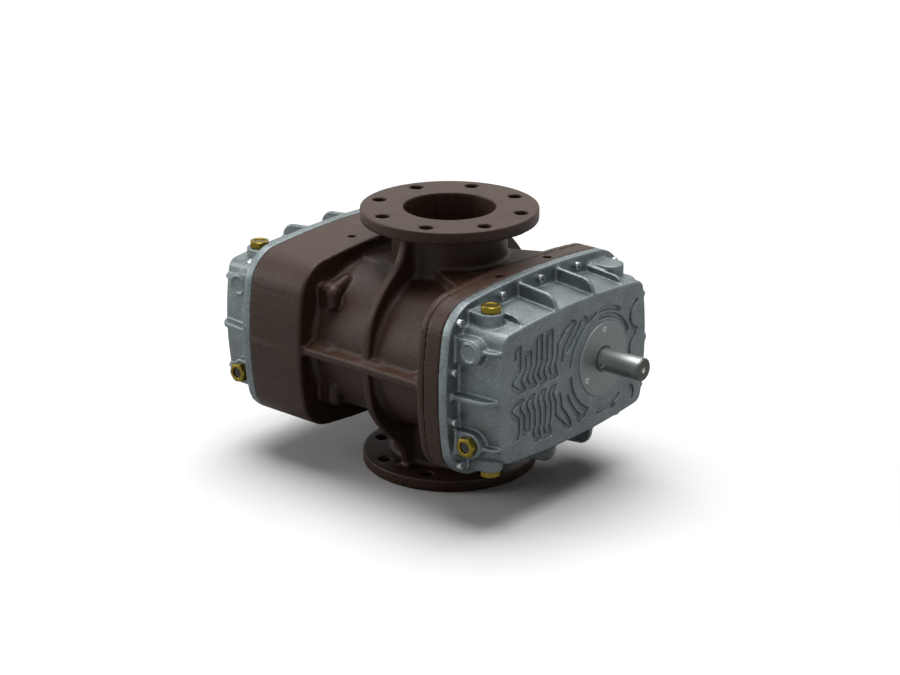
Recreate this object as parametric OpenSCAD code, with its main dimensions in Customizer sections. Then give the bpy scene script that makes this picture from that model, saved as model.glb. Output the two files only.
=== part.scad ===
// Rotary lobe blower, two lobes a rotor, with a flanged port above and one below.
// X runs along the rotor shafts and the drive shaft end points to +X.
// Y runs across the two rotors. Z is up through both ports.
// The origin is the centre of the lower port's flange face. Millimetres.

/* [Ports] */
// Height from the lower flange face to the upper one
port_height = 440; // [420:2:480]
// Bore of each port
port_bore = 150; // [130:1:156]
// Outside diameter of the port flanges
flange_d = 290; // [280:1:300]
// Thickness of the port flanges
flange_t = 20; // [16:1:24]
// Bolt circle of the port flanges
bolt_circle_d = 240; // [232:1:246]
// Bolt holes in the port flanges
bolt_hole_d = 23; // [18:1:24]
// Number of bolt holes in each flange
bolt_count = 8; // [4:4:12]
// Wall of the necks that carry the flanges
neck_wall = 19; // [14:1:20]
// Radius of the fillet where a neck meets the body
neck_fillet_r = 10; // [6:1:14]

/* [Rotors] */
// Distance between the two rotor shafts
axis_gap = 144; // [140:2:148]
// Length of the chamber that the rotors turn in
chamber_l = 258; // [240:1:262]
// Running gap between the two rotors
lobe_gap = 0.6; // [0.4:0.1:1]
// Running gap between a rotor and the chamber, at the tips and at each end
chamber_gap = 0.5; // [0.4:0.1:1]
// Wall of the twin barrel round the chamber
barrel_wall = 16; // [13:1:18]

/* [Body] */
// Width of the end plates and cover rims, at the middle of their height
plate_w = 452; // [448:2:464]
// Height of the end plates and cover rims, at their middle
plate_h = 304; // [300:2:312]
// Radius of the bowed sides of the plates
side_bow_r = 520; // [480:10:700]
// Radius of the bowed top and bottom of the plates
top_bow_r = 1500; // [1200:50:2500]
// Radius of the plates' corners
corner_r = 40; // [36:1:46]
// Depth of the gear housing behind the barrel
housing_depth = 113; // [105:1:125]
// Distance from the port axis to the gear housing's front face
housing_front = 125; // [122:1:130]
// Distance from the port axis to the joint of body and side plate
body_front = 138; // [134:1:142]
// Thickness of the body's front flange
front_flange_t = 14; // [11:1:18]
// Thickness of the side plate
side_plate_t = 30; // [28:1:36]
// Thickness of the wall between chamber and gear case
end_wall_t = 45; // [43:1:50]
// Wall of the gear housing
housing_wall = 30; // [28:1:32]
// Thickness of the two shelf ribs along the sides
shelf_t = 14; // [10:1:18]
// How far the shelf ribs stand in from the widest part of the plates
shelf_inset = 5; // [3:1:8]
// Thickness of the girth rib round the body
girth_t = 15; // [10:1:18]
// Height of the flat pads between the necks and the end walls, above the middle
pad_top = 139; // [132:1:144]
// Half width of those pads where they meet the end walls
pad_half_w = 121; // [112:1:126]
// Diameter of the tapped lifting holes
lifting_hole_d = 14; // [10:1:14]
// Depth of the tapped lifting holes
lifting_hole_l = 24; // [16:1:26]
// Distance between the two lifting holes of a plate
lifting_gap = 122; // [100:2:140]
// Diameter of the dowels between body and side plate
dowel_d = 10; // [8:1:10]

/* [Covers] */
// Depth of each oil cover
cover_depth = 92; // [90:1:96]
// Thickness of the covers' rim
cover_rim_t = 16; // [14:1:18]
// Width of the rim round the covers' body
cover_land = 28; // [27:1:30]
// How far the cover walls lean in from rim to face
cover_draft = 9; // [6:1:11]
// Radius of the rounded edge between cover wall and face
cover_edge_r = 9; // [6:1:10]
// Wall of the covers
cover_wall = 8; // [7:1:9]
// Thickness of the cooling ribs on the covers
cover_rib_t = 8; // [5:1:9]
// Depth of the wave grooves in the cover face
groove_depth = 3.5; // [2:0.5:4]
// Width of the wave grooves
groove_w = 8; // [6:0.5:9]
// Distance between the wave grooves
groove_pitch = 13.5; // [13:0.5:15]
// Distance of the boss centres from the cover's joint
boss_out = 44; // [42:1:46]
// Diameter of the round bosses on the covers
boss_d = 42; // [38:1:44]
// Diameter of the raised boss round the shaft seal
seal_boss_d = 152; // [144:2:156]

/* [Fittings] */
// Nominal size of the cover screws
cover_screw_d = 8; // [6:2:8]
// How far the screws sit in from the plates' edge
screw_inset = 14; // [13:1:16]
// Size across the flats of the brass fittings
brass_af = 30; // [27:1:32]
// Thread diameter of the brass fittings
brass_thread_d = 21; // [18:1:22]
// Height of the brass plugs' heads
plug_head_t = 11; // [8:1:12]
// Length of thread on the brass fittings
plug_thread_l = 14; // [10:1:16]
// Diameter of the sight glasses
glass_d = 18; // [14:1:20]
// Size of the retainer and seal cover screws
small_screw_d = 6; // [5:1:6]
// Length of the seal cover's spigot behind its disc
spigot_l = 14; // [12:1:18]
// Wall of the lip seal between the shaft and the spigot
lip_seal_t = 10; // [8:1:11]
// Width of the lip seal
lip_seal_w = 8.5; // [7:0.5:9]
// Length of the seal cover screws under their heads
seal_screw_l = 15; // [12:1:18]
// How deep the cover screws go into the casting behind their joint
screw_grip = 18; // [14:1:20]
// Nominal size of the screws that hold the side plate
plate_screw_d = 10; // [8:2:10]
// How deep the side plate's screws go into the body casting
plate_screw_grip = 20; // [16:1:24]

/* [Shafts and bearings] */
// Diameter of the drive shaft end
shaft_end_d = 38; // [32:1:40]
// Length of the drive shaft end outside the cover
shaft_end_l = 80; // [60:1:110]
// Width of the keyway
key_w = 10; // [8:1:12]
// Depth of the keyway
key_depth = 5; // [4:0.5:6]
// Length of the keyway
key_l = 63; // [40:1:66]
// Turn of the keyway below the horizontal when the rotors stand as drawn
key_turn = 20; // [0:5:45]
// Diameter of the shafts in the rotors
rotor_shaft_d = 50; // [48:1:54]
// Bore of the bearings
bearing_bore = 45; // [43:1:46]
// Outside diameter of the bearings
bearing_d = 100; // [94:1:102]
// Width of the bearings
bearing_w = 25; // [22:1:26]
// Diameter of the bearing balls
ball_d = 17; // [15:0.5:17.5]
// Number of balls in a bearing
ball_count = 8; // [7:1:9]
// Outside diameter of the shaft seals beside the chamber
seal_d = 72; // [68:1:76]
// Width of the shaft seals
seal_w = 10; // [8:1:10]
// Outside diameter of the bearing retainers
retainer_d = 126; // [122:1:130]
// Thickness of the bearing retainers
retainer_t = 6; // [5:1:8]
// Diameter of the shaft seal cover
seal_cover_d = 124; // [120:1:130]
// How far the seal cover stands out of the cover face
seal_cover_out = 2; // [1:0.5:3]
// Clearance of pieces that are fitted together and don't move
fit_gap = 0.1; // [0.05:0.05:0.2]
// Radial clearance of the shafts in their seals and bores
run_gap = 0.08; // [0.05:0.01:0.1]

/* [Gears and slinger] */
// Teeth of each timing gear
gear_teeth = 36; // [24:2:36]
// Width of the timing gears
gear_w = 34; // [28:1:38]
// Backlash between the timing gears
backlash = 0.5; // [0.4:0.1:0.8]
// Diameter of the oil slinger disc
slinger_d = 190; // [170:2:196]
// Thickness of the oil slinger disc
slinger_t = 4; // [3:1:5]

/* [Hidden] */
$fn = 72;

paint = "#6b5045";
alloy = "#9ba5a8";
steel = "#b9bec0";
dark_steel = "#6f7478";
brass = "#a58a3c";
rubber = "#222222";
glass = "#3a2f1c";

// Places along the shafts
mid_z = port_height / 2;
axis_y = axis_gap / 2;
housing_back_x = -housing_front - housing_depth;
joint_x = body_front + side_plate_t;
chamber_back_x = body_front - chamber_l;
end_wall_x = chamber_back_x - end_wall_t;
cover_face_x = joint_x + cover_depth;
seal_face_x = cover_face_x + seal_cover_out;
bearing_boss_l = bearing_w + seal_w + 19 - side_plate_t;
front_boss_x = joint_x + bearing_boss_l;
front_bearing_x = front_boss_x - bearing_w;
rear_bearing_x = end_wall_x + bearing_w;
shaft_end_x = cover_face_x + shaft_end_l;

// Rotor sizes: a two-lobe cycloid has a rolling circle a quarter of its pitch circle
pitch_r = axis_gap / 2;
roll_r = pitch_r / 4;
tip_r = pitch_r + 2 * roll_r - lobe_gap / 2;
chamber_r = tip_r + chamber_gap;
barrel_r = chamber_r + barrel_wall;
rotor_l = chamber_l - 2 * chamber_gap;

// Plate outline
half_w = plate_w / 2;
half_h = plate_h / 2;
neck_r = port_bore / 2 + neck_wall;
flange_low_z = port_height / 2 - flange_t;
cap_t = 8;
nut_t = 10;
nut_r = 32;
small_head_r = small_screw_d * 0.83;
shaft_step_r = bearing_bore / 2;
journal_r = shaft_end_d / 2 + 2;
hole_run_r = rotor_shaft_d / 2 + run_gap;

// Centre of the corner circle that touches the side bow and the top bow from inside
function corner_centre(a, b, rs, rt, rc) =
    let(p = [a - rs, 0], q = [0, b - rt], v = q - p, d = norm(v),
        rp = rs - rc, rq = rt - rc, m = (rp * rp - rq * rq + d * d) / (2 * d),
        h = sqrt(rp * rp - m * m), e = v / d)
    [p[0] + e[0] * m - e[1] * h, p[1] + e[1] * m + e[0] * h];

function arc(c, r, a0, a1, n) =
    [for (i = [0:n]) let(t = a0 + (a1 - a0) * i / n) [c[0] + r * cos(t), c[1] + r * sin(t)]];

function mirror_x(pts) = [for (i = [len(pts) - 1:-1:0]) [-pts[i][0], pts[i][1]]];
function mirror_y(pts) = [for (i = [len(pts) - 1:-1:0]) [pts[i][0], -pts[i][1]]];

// Outline with bowed sides and round corners, drawn in by the amount "inset"
function bowed_outline(inset, n_top, n_side, n_corner) =
    let(a = half_w - inset, b = half_h - inset, rs = side_bow_r - inset, rt = top_bow_r - inset,
        rc = max(corner_r - inset, 12), c = corner_centre(a, b, rs, rt, rc),
        t_side = atan2(c[1], c[0] - a + rs), t_top = atan2(c[1] - b + rt, c[0]),
        side = arc([a - rs, 0], rs, 0, t_side, n_side),
        corner = arc(c, rc, t_side, t_top, n_corner),
        top = arc([0, b - rt], rt, t_top, 90, n_top),
        quarter = concat(side, [for (i = [1:n_corner]) corner[i]], [for (i = [1:n_top]) top[i]]),
        inner = [for (i = [0:len(quarter) - 2]) quarter[i]],
        half = concat(quarter, mirror_x(inner)))
    concat(half, [for (i = [1:len(half) - 2]) mirror_y(half)[i]]);

module plate_2d(inset = 0) { polygon(bowed_outline(inset, 8, 6, 7)); }

// Profiles extruded along X, Y and Z, and a cylinder along X
module along_x(x0, x1) { translate([x0, 0, 0]) rotate([90, 0, 90]) linear_extrude(x1 - x0) children(); }
module along_y(y0, y1) { translate([0, y1, 0]) rotate([90, 0, 0]) linear_extrude(y1 - y0) children(); }
module rod_x(x0, x1, y, r) { translate([x0, y, mid_z]) rotate([0, 90, 0]) cylinder(r = r, h = x1 - x0); }
module plate(x0, x1, inset = 0) { translate([0, 0, mid_z]) along_x(x0, x1) plate_2d(inset); }
module both_axes() { for (s = [-1, 1]) translate([0, s * axis_y, 0]) children(); }
module up_and_down() { for (s = [0, 1]) translate([0, 0, mid_z]) mirror([0, 0, s]) children(); }

// Screw places round a cover rim: three above and below, one at each corner, two on each side
rim_corner = corner_centre(half_w, half_h, side_bow_r, top_bow_r, corner_r);
function top_place(y) = [y, half_h - top_bow_r + sqrt(pow(top_bow_r - screw_inset, 2) - y * y)];
function side_place(z) = [half_w - side_bow_r + sqrt(pow(side_bow_r - screw_inset, 2) - z * z), z];
corner_place = rim_corner + (corner_r - screw_inset) * [cos(37), sin(37)];
screw_span = plate_w * 0.21;
quarter_places = [top_place(0), top_place(screw_span), corner_place, side_place(plate_h * 0.135)];
rim_places = concat([quarter_places[0], -quarter_places[0]],
    [for (i = [1:3]) for (s = [-1, 1]) for (t = [-1, 1]) [s * quarter_places[i][0], t * quarter_places[i][1]]]);

side_screw_r = chamber_r + barrel_wall / 2;
side_screw_places = [for (s = [-1, 1]) for (t = [-1, 0, 1]) t == 0 ? [0, s * (barrel_r - 20)]
    : [t * (axis_y + side_screw_r * cos(51)), s * side_screw_r * sin(51)]];
dowel_places = [[-side_place(86)[0], -86], [side_place(86)[0], 86]];

// Screw with a socket head, standing on its head's seat and pointing down -X
module socket_screw(d, l) {
    rotate([0, -90, 0]) difference() {
        union() {
            translate([0, 0, -d]) cylinder(d = 1.6 * d, h = d);
            translate([0, 0, -0.5]) cylinder(d = d, h = l + 0.5);
        }
        translate([0, 0, -d - 1]) cylinder(d = 0.95 * d, h = 0.6 * d + 1, $fn = 6);
    }
}

// Body casting: gear housing, twin barrel, front flange, necks and port flanges in one piece
girth_path = [[112, 0], [114, 10], [119, 30], [128, 47], [149, 63], [170, 84], [186, 105], [197, 124], [203, 149],
    [206, 174], [208, 184]];
module neck_profile() {
    square([neck_r, port_height / 2]);
    translate([0, flange_low_z]) square([flange_d / 2, flange_t]);
    difference() {
        square([neck_r + neck_fillet_r, barrel_r + neck_fillet_r]);
        translate([neck_r + neck_fillet_r, barrel_r + neck_fillet_r]) circle(neck_fillet_r);
    }
    difference() {
        translate([0, flange_low_z - 8]) square([neck_r + 8, 8 + flange_t / 2]);
        translate([neck_r + 8, flange_low_z - 8]) circle(8);
    }
}

module girth_rib() {
    up_and_down() for (m = [0, 1]) mirror([0, m, 0]) along_x(-girth_t / 2, girth_t / 2)
        polygon(concat([[0, flange_low_z + 1]],
            [for (p = girth_path) [p[0], flange_low_z - p[1]]], [[208, 0], [0, 0]]));
}

// Flat pads that widen from the necks to the end walls
module saddle_pads() {
    side_y = neck_r - 12;
    up_and_down() for (end = [-housing_front - 1, body_front - front_flange_t + 1])
        linear_extrude(pad_top) polygon([[sign(end) * 45, -side_y], [end, -pad_half_w], [end, pad_half_w], [sign(end) * 45, side_y]]);
}

// Domed oil passage lug beside the gear housing, its rib down to the shelf and its bar along the barrel
lug_x = -housing_front + 25;
lug_y = -176;
lug_r = 17;
module housing_lug() {
    up_and_down() for (m = [0, 1]) mirror([0, m, 0]) translate([0, lug_y, 0]) {
        translate([lug_x, 0, 60]) { cylinder(r = lug_r, h = 37); translate([0, 0, 37]) sphere(r = lug_r); }
        translate([-housing_front - 1, -12, 50]) cube([26, 24, 52]);
        translate([-housing_front - 1, -10, 0]) cube([20, 20, 60]);
        translate([lug_x, 0, 97]) rotate([-84, 0, 0]) cylinder(r = 11, h = 90);
        translate([-housing_front - 1, 0, 76]) rotate([6, 0, 0]) cube([26, 90, 28]);
    }
}

module casing() color(paint) difference() {
    union() {
        plate(housing_back_x, -housing_front);
        plate(body_front - front_flange_t, body_front);
        both_axes() rod_x(-housing_front - 1, body_front - 1, 0, barrel_r);
        translate([-housing_front - 1, -axis_y, mid_z - barrel_r])
            cube([housing_front + body_front - front_flange_t + 2, axis_gap, 2 * barrel_r]);
        up_and_down() rotate_extrude() neck_profile();
        girth_rib();
        saddle_pads();
        housing_lug();
        translate([-housing_front - 1, -half_w + shelf_inset, mid_z - 4])
            cube([housing_front + body_front - front_flange_t + 2, plate_w - 2 * shelf_inset, shelf_t]);
        for (s = [-1, 1]) for (x = [-housing_front + 16, 20, body_front - front_flange_t - 14])
            translate([x, s * (axis_y + barrel_r + 3), mid_z - 4]) cylinder(r = 13, h = shelf_t + 10);
    }
    both_axes() rod_x(chamber_back_x, body_front + 1, 0, chamber_r);
    up_and_down() translate([0, 0, pitch_r / 2]) cylinder(d = port_bore, h = port_height);
    up_and_down() for (i = [0:bolt_count - 1]) rotate([0, 0, (i + 0.5) * 360 / bolt_count])
        translate([bolt_circle_d / 2, 0, flange_low_z - 1]) cylinder(d = bolt_hole_d, h = flange_t + 2);
    plate(housing_back_x - 1, end_wall_x, housing_wall);
    both_axes() {
        rod_x(end_wall_x - 1, rear_bearing_x, 0, bearing_d / 2 + fit_gap);
        rod_x(end_wall_x, rear_bearing_x + seal_w, 0, seal_d / 2 + fit_gap);
        rod_x(end_wall_x, chamber_back_x + 1, 0, hole_run_r + 0.4);
        retainer_holes(end_wall_x - 1, 17);
    }
    for (s = [-1, 1]) translate([-160, s * (lifting_gap / 2 - 1), plate_top(lifting_gap / 2) - lifting_hole_l])
        cylinder(d = lifting_hole_d, h = lifting_hole_l + 5);
    for (p = rim_places) at_place(p) rod_at(housing_back_x - 1, housing_back_x + screw_grip + 2, cover_screw_d / 2 + fit_gap);
    for (p = side_screw_places) at_place(p)
        rod_at(body_front - plate_screw_grip - 2, body_front + 1, plate_screw_d / 2 + fit_gap);
    for (p = dowel_places) at_place(p) rod_at(body_front - 12, body_front + 1, dowel_d / 2 + fit_gap);
}

module at_place(p) { translate([0, p[0], mid_z + p[1]]) children(); }
module rod_at(x0, x1, r) { translate([x0, 0, 0]) rotate([0, 90, 0]) cylinder(r = r, h = x1 - x0); }
function plate_top(y) = mid_z + half_h - top_bow_r + sqrt(top_bow_r * top_bow_r - y * y);

retainer_screw_r = (bearing_d + retainer_d) / 4 + 0.4;
module retainer_holes(x0, l) {
    for (a = [90, 210, 330]) translate([x0, retainer_screw_r * cos(a), mid_z + retainer_screw_r * sin(a)])
        rotate([0, 90, 0]) cylinder(d = small_screw_d + 2 * fit_gap, h = l + 1);
}

// Side plate with the two front bearing bosses
module side_plate() color(paint) difference() {
    union() {
        plate(body_front, joint_x);
        both_axes() rod_x(joint_x - 1, front_boss_x, 0, retainer_d / 2);
    }
    both_axes() {
        rod_x(front_bearing_x, front_boss_x + 1, 0, bearing_d / 2 + fit_gap);
        rod_x(front_bearing_x - seal_w, front_boss_x, 0, seal_d / 2 + fit_gap);
        rod_x(body_front - 1, front_boss_x, 0, hole_run_r + 0.4);
        retainer_holes(front_boss_x - 17, 18);
    }
    for (s = [-1, 1]) translate([body_front + side_plate_t / 2, s * lifting_gap / 2, plate_top(lifting_gap / 2) - lifting_hole_l])
        cylinder(d = lifting_hole_d, h = lifting_hole_l + 5);
    for (p = rim_places) at_place(p) rod_at(joint_x - screw_grip - 2, joint_x + 1, cover_screw_d / 2 + fit_gap);
    for (p = side_screw_places) at_place(p) {
        rod_at(body_front - 1, joint_x + 1, plate_screw_d / 2 + fit_gap);
        rod_at(joint_x - plate_screw_d - 1, joint_x + 1, plate_screw_d * 0.8 + fit_gap);
    }
    for (p = dowel_places) at_place(p) rod_at(body_front - 1, body_front + 12, dowel_d / 2 + fit_gap);
}

// Oil cover, drawn from its joint at x = 0 outwards, with z = 0 at the middle of the height
module cover_slice(x, inset) { along_x(x, x + 0.1) polygon(bowed_outline(inset, 3, 3, 4)); }
module cover_form(inset, depth, edge) {
    hull() {
        cover_slice(0, inset);
        cover_slice(depth - edge - 0.1, inset + cover_draft);
        cover_slice(depth - 0.3 * edge - 0.1, inset + cover_draft + 0.3 * edge);
        cover_slice(depth - 0.1, inset + cover_draft + edge);
    }
}

cover_top_z = half_h - cover_land;
cover_side_y = half_w - cover_land;
top_boss_y = half_w - 73;
side_boss_z = half_h - 76;

// Cooling rib on a cover's top wall, seen along Y
module top_rib(y, z_rim, t) {
    r = 24;
    face_z = cover_top_z - cover_draft - cover_edge_r;
    along_y(y - t / 2, y + t / 2) polygon(concat([[cover_rim_t - 1, cover_top_z - 20], [cover_rim_t - 1, z_rim]],
        [for (i = [0:5]) let(a = 90 - 16 * i) [cover_depth - 4 - r + r * cos(a), z_rim - 5 - r + r * sin(a)]],
        [[cover_depth - 1, face_z], [cover_depth - 12, cover_top_z - 34]]));
}

// Cooling rib on a cover's side wall, seen along Z
module side_rib(z, y_rim, t) {
    r = 18;
    face_y = cover_side_y - cover_draft - cover_edge_r;
    translate([0, 0, z - t / 2]) linear_extrude(t) polygon(concat([[cover_rim_t - 1, cover_side_y - 20], [cover_rim_t - 1, y_rim]],
        [for (i = [0:5]) let(a = 90 - 16 * i) [cover_depth - 4 - r + r * cos(a), y_rim - 4 - r + r * sin(a)]],
        [[cover_depth - 1, face_y], [cover_depth - 12, cover_side_y - 30]]));
}

boss_top_z = cover_top_z + 6;
boss_side_y = cover_side_y + 7;
module cover_bosses() {
    for (s = [-1, 1]) for (m = [0, 1]) mirror([0, 0, m]) {
        translate([boss_out, s * top_boss_y, cover_top_z - 34]) cylinder(d = boss_d, h = boss_top_z - cover_top_z + 34);
        translate([cover_rim_t - 1, s * top_boss_y - boss_d / 2, cover_top_z - 34])
            cube([boss_out - cover_rim_t + 1, boss_d, boss_top_z - cover_top_z + 34]);
    }
    for (s = [0, 1]) mirror([0, s, 0]) for (m = [-1, 1]) translate([0, 0, m * side_boss_z]) {
        translate([boss_out, -cover_side_y + 24, 0]) rotate([90, 0, 0]) cylinder(d = boss_d, h = boss_side_y - cover_side_y + 24);
        translate([cover_rim_t - 1, -boss_side_y, -boss_d / 2])
            cube([boss_out - cover_rim_t + 1, boss_side_y - cover_side_y + 24, boss_d]);
    }
}

// Groove of the cover face along a line of points, drawn to a blunt end past its first and last point
function ahead(p, i, j) = (p[j] - p[i]) / norm(p[j] - p[i]);
function capped(p) = let(n = len(p) - 1) concat([p[0] - 3 * ahead(p, 0, 1)], p, [p[n] + 3 * ahead(p, n - 1, n)]);
function edge_point(p, i, side) = let(n = len(p) - 1, d = ahead(p, max(i - 1, 0), min(i + 1, n)))
    p[i] + side * groove_w / 2 * (i == 0 || i == n ? 0.4 : 1) * [-d[1], d[0]];
module groove(line) {
    p = capped(line);
    n = len(p) - 1;
    polygon(concat([for (i = [0:n]) edge_point(p, i, 1)], [for (i = [n:-1:0]) edge_point(p, i, -1)]));
}

// S-shaped grooves, drawn from the middle of the face's height outwards
function ease(t) = let(u = min(max(t, 0), 1)) u * u * (3 - 2 * u);
function upper_shift(h) = 18 * ease((h - 10) / 34) + 12 * ease((h - 62) / 22);
function lower_shift(h) = 16 * ease((h - 12) / 33) - 4 * ease((h - 60) / 24);
upper_spans = [[29, 78], [14, 66], [13, 67], [13, 86], [12, 80], [11, 86], [9, 53]];
lower_spans = [[25, 70], [22, 61], [12, 71], [14, 79], [12, 77], [10, 71], [9, 65]];
module wave_grooves() {
    n = 7;
    for (k = [0:6]) {
        upper_y = -158 + groove_pitch * k;
        lower_y = -158 + 1.2 * groove_pitch * k;
        groove([for (i = [0:n]) let(h = upper_spans[k][0] + (upper_spans[k][1] - upper_spans[k][0]) * i / n)
            [upper_y + upper_shift(h), h]]);
        groove([for (i = [0:n]) let(h = lower_spans[k][0] + (lower_spans[k][1] - lower_spans[k][0]) * i / n)
            [lower_y + lower_shift(h), -h]]);
    }
}

// Arcs about the shaft seal, a lower corner and the right side: centre, radius, first angle and last angle
face_arcs = [[[axis_y, 0], 94, 128, 176], [[axis_y, 0], 120, 129, 157], [[axis_y, 0], 108, 154, 166],
    [[axis_y, 0], 95, 198, 232], [[axis_y, 0], 113, 194, 205], [[axis_y, 0], 88, 56, 93], [[axis_y, 0], 75, 72, 96],
    [[axis_y, 0], 74, 24, 52], [[axis_y, 0], 86, 263, 303], [[-42, -95], 36, 0, 76], [[-42, -95], 20, 20, 105],
    [[170, 50], 26, 110, 255], [[172, -5], 26, 115, 205], [[141, -84], 16, -30, 60], [[100, -112], 22, 74, 106]];
module face_grooves() {
    wave_grooves();
    for (a = face_arcs) groove(arc(a[0], a[1], a[2], a[3], max(3, round((a[3] - a[2]) / 14))));
}

seal_hub_l = 28;
recess_depth = 6;
spigot_r = 43;
seal_bolt_r = 50;
module cover_casting(open_for_shaft) color(alloy) difference() {
    union() {
        along_x(0, cover_rim_t) plate_2d();
        difference() {
            cover_form(cover_land, cover_depth, cover_edge_r);
            translate([-1, 0, 0]) cover_form(cover_land + cover_wall, cover_depth - cover_wall + 1, cover_edge_r);
        }
        for (m = [0, 1]) mirror([0, 0, m]) {
            for (s = [-1, 1]) {
                top_rib(s * 49, half_h - (m == 0 ? 8 : 2), cover_rib_t);
                top_rib(s * (top_boss_y - boss_d / 2 - 4), cover_top_z + 2, cover_rib_t * 0.75);
            }
            for (s = [0, 1]) mirror([0, s, 0]) side_rib(side_boss_z + 3, cover_side_y + 2, cover_rib_t * 0.75);
        }
        for (s = [0, 1]) mirror([0, s, 0]) side_rib(0, half_w - 12, cover_rib_t);
        cover_bosses();
        translate([cover_depth - seal_hub_l, axis_y, 0]) rotate([0, 90, 0]) cylinder(d = seal_boss_d, h = seal_hub_l);
    }
    // Room for the gears and oil inside, cut again through what the ribs and bosses left in it
    translate([-1, 0, 0]) intersection() {
        cover_form(cover_land + cover_wall, cover_depth - cover_wall + 1, cover_edge_r);
        union() {
            translate([0, -half_w, -half_h]) cube([cover_depth - seal_hub_l, plate_w, plate_h]);
            translate([0, 0, 0]) difference() {
                translate([0, -half_w, -half_h]) cube([cover_depth, plate_w, plate_h]);
                translate([-1, axis_y, 0]) rotate([0, 90, 0]) cylinder(d = seal_boss_d, h = cover_depth + 2);
            }
        }
    }
    translate([cover_depth - groove_depth, 0, 0]) along_x(0, groove_depth + 1) face_grooves();
    for (p = rim_places) translate([0, p[0], p[1]]) rod_at(-1, cover_rim_t + 1, cover_screw_d / 2 + fit_gap);
    for (p = rim_places) translate([0, p[0], p[1]]) rod_at(cover_rim_t, cover_rim_t + cover_screw_d + 2, cover_screw_d * 0.8 + 0.6);
    for (m = [-1, 1]) translate([boss_out, -top_boss_y, m * boss_top_z]) mirror([0, 0, m > 0 ? 0 : 1])
        translate([0, 0, -30]) cylinder(d = brass_thread_d + 2 * fit_gap, h = 31);
    translate([boss_out, -boss_side_y + 30, -side_boss_z]) rotate([90, 0, 0]) cylinder(d = brass_thread_d + 2 * fit_gap, h = 31);
    if (open_for_shaft) {
        translate([0, axis_y, 0]) {
            rod_at(-1, cover_depth + 1, spigot_r + fit_gap);
            rod_at(cover_depth - recess_depth, cover_depth + 1, seal_cover_d / 2 + 2 * fit_gap);
            for (a = [90, 210, 330]) translate([0, seal_bolt_r * cos(a), seal_bolt_r * sin(a)])
                rod_at(cover_depth - seal_screw_l - small_screw_d + seal_cover_out - 1, cover_depth, small_screw_d / 2 + fit_gap);
        }
    }
}
module drive_cover() { translate([joint_x, 0, mid_z]) cover_casting(true); }
module gear_cover() { translate([housing_back_x, 0, mid_z]) mirror([1, 0, 0]) cover_casting(false); }

// Seal cover: a flat disc with a spigot that carries the lip seal
module shaft_seal_cover() color(alloy) {
    x1 = cover_face_x + seal_cover_out;
    x0 = cover_face_x - recess_depth;
    difference() {
        union() {
            rod_x(x0, x1, axis_y, seal_cover_d / 2);
            rod_x(x0 - spigot_l, x0 + 1, axis_y, spigot_r);
        }
        rod_x(x0 - spigot_l - 1, x1 + 1, axis_y, journal_r + 0.5);
        rod_x(x0 - spigot_l - 1, x0 - spigot_l + 1 + lip_seal_w + fit_gap, axis_y, journal_r + lip_seal_t + fit_gap);
        for (a = [90, 210, 330]) translate([0, axis_y + seal_bolt_r * cos(a), mid_z + seal_bolt_r * sin(a)]) {
            rod_at(x0 - 1, x1 + 1, small_screw_d / 2 + fit_gap);
            rod_at(x1 - small_screw_d, x1 + 1, small_screw_d * 0.8 + 0.2);
        }
    }
}

module shaft_lip_seal() color(rubber) {
    x0 = cover_face_x - recess_depth - spigot_l + 1;
    difference() {
        rod_x(x0, x0 + lip_seal_w, axis_y, journal_r + lip_seal_t);
        rod_x(x0 - 1, x0 + lip_seal_w + 1, axis_y, journal_r + run_gap);
        rod_x(x0 - 1, x0 + lip_seal_w * 0.6, axis_y, journal_r + lip_seal_t * 0.4);
    }
}

module seal_cover_screws() color(dark_steel) {
    for (a = [90, 210, 330]) translate([cover_face_x + seal_cover_out - small_screw_d, axis_y + seal_bolt_r * cos(a), mid_z + seal_bolt_r * sin(a)])
        socket_screw(small_screw_d, seal_screw_l);
}

module drive_cover_screws() color(steel)
    for (p = rim_places) at_place(p) translate([joint_x + cover_rim_t, 0, 0]) socket_screw(cover_screw_d, cover_rim_t + screw_grip);
module gear_cover_screws() color(steel)
    for (p = rim_places) at_place(p) translate([housing_back_x - cover_rim_t, 0, 0]) mirror([1, 0, 0]) socket_screw(cover_screw_d, cover_rim_t + screw_grip);
module side_plate_screws() color(dark_steel)
    for (p = side_screw_places) at_place(p) translate([joint_x - plate_screw_d - 1, 0, 0])
        socket_screw(plate_screw_d, side_plate_t - plate_screw_d - 1 + plate_screw_grip);
module dowel_pins() color(steel)
    for (p = dowel_places) at_place(p) rod_at(body_front - 11, body_front + 11, dowel_d / 2);

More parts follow.
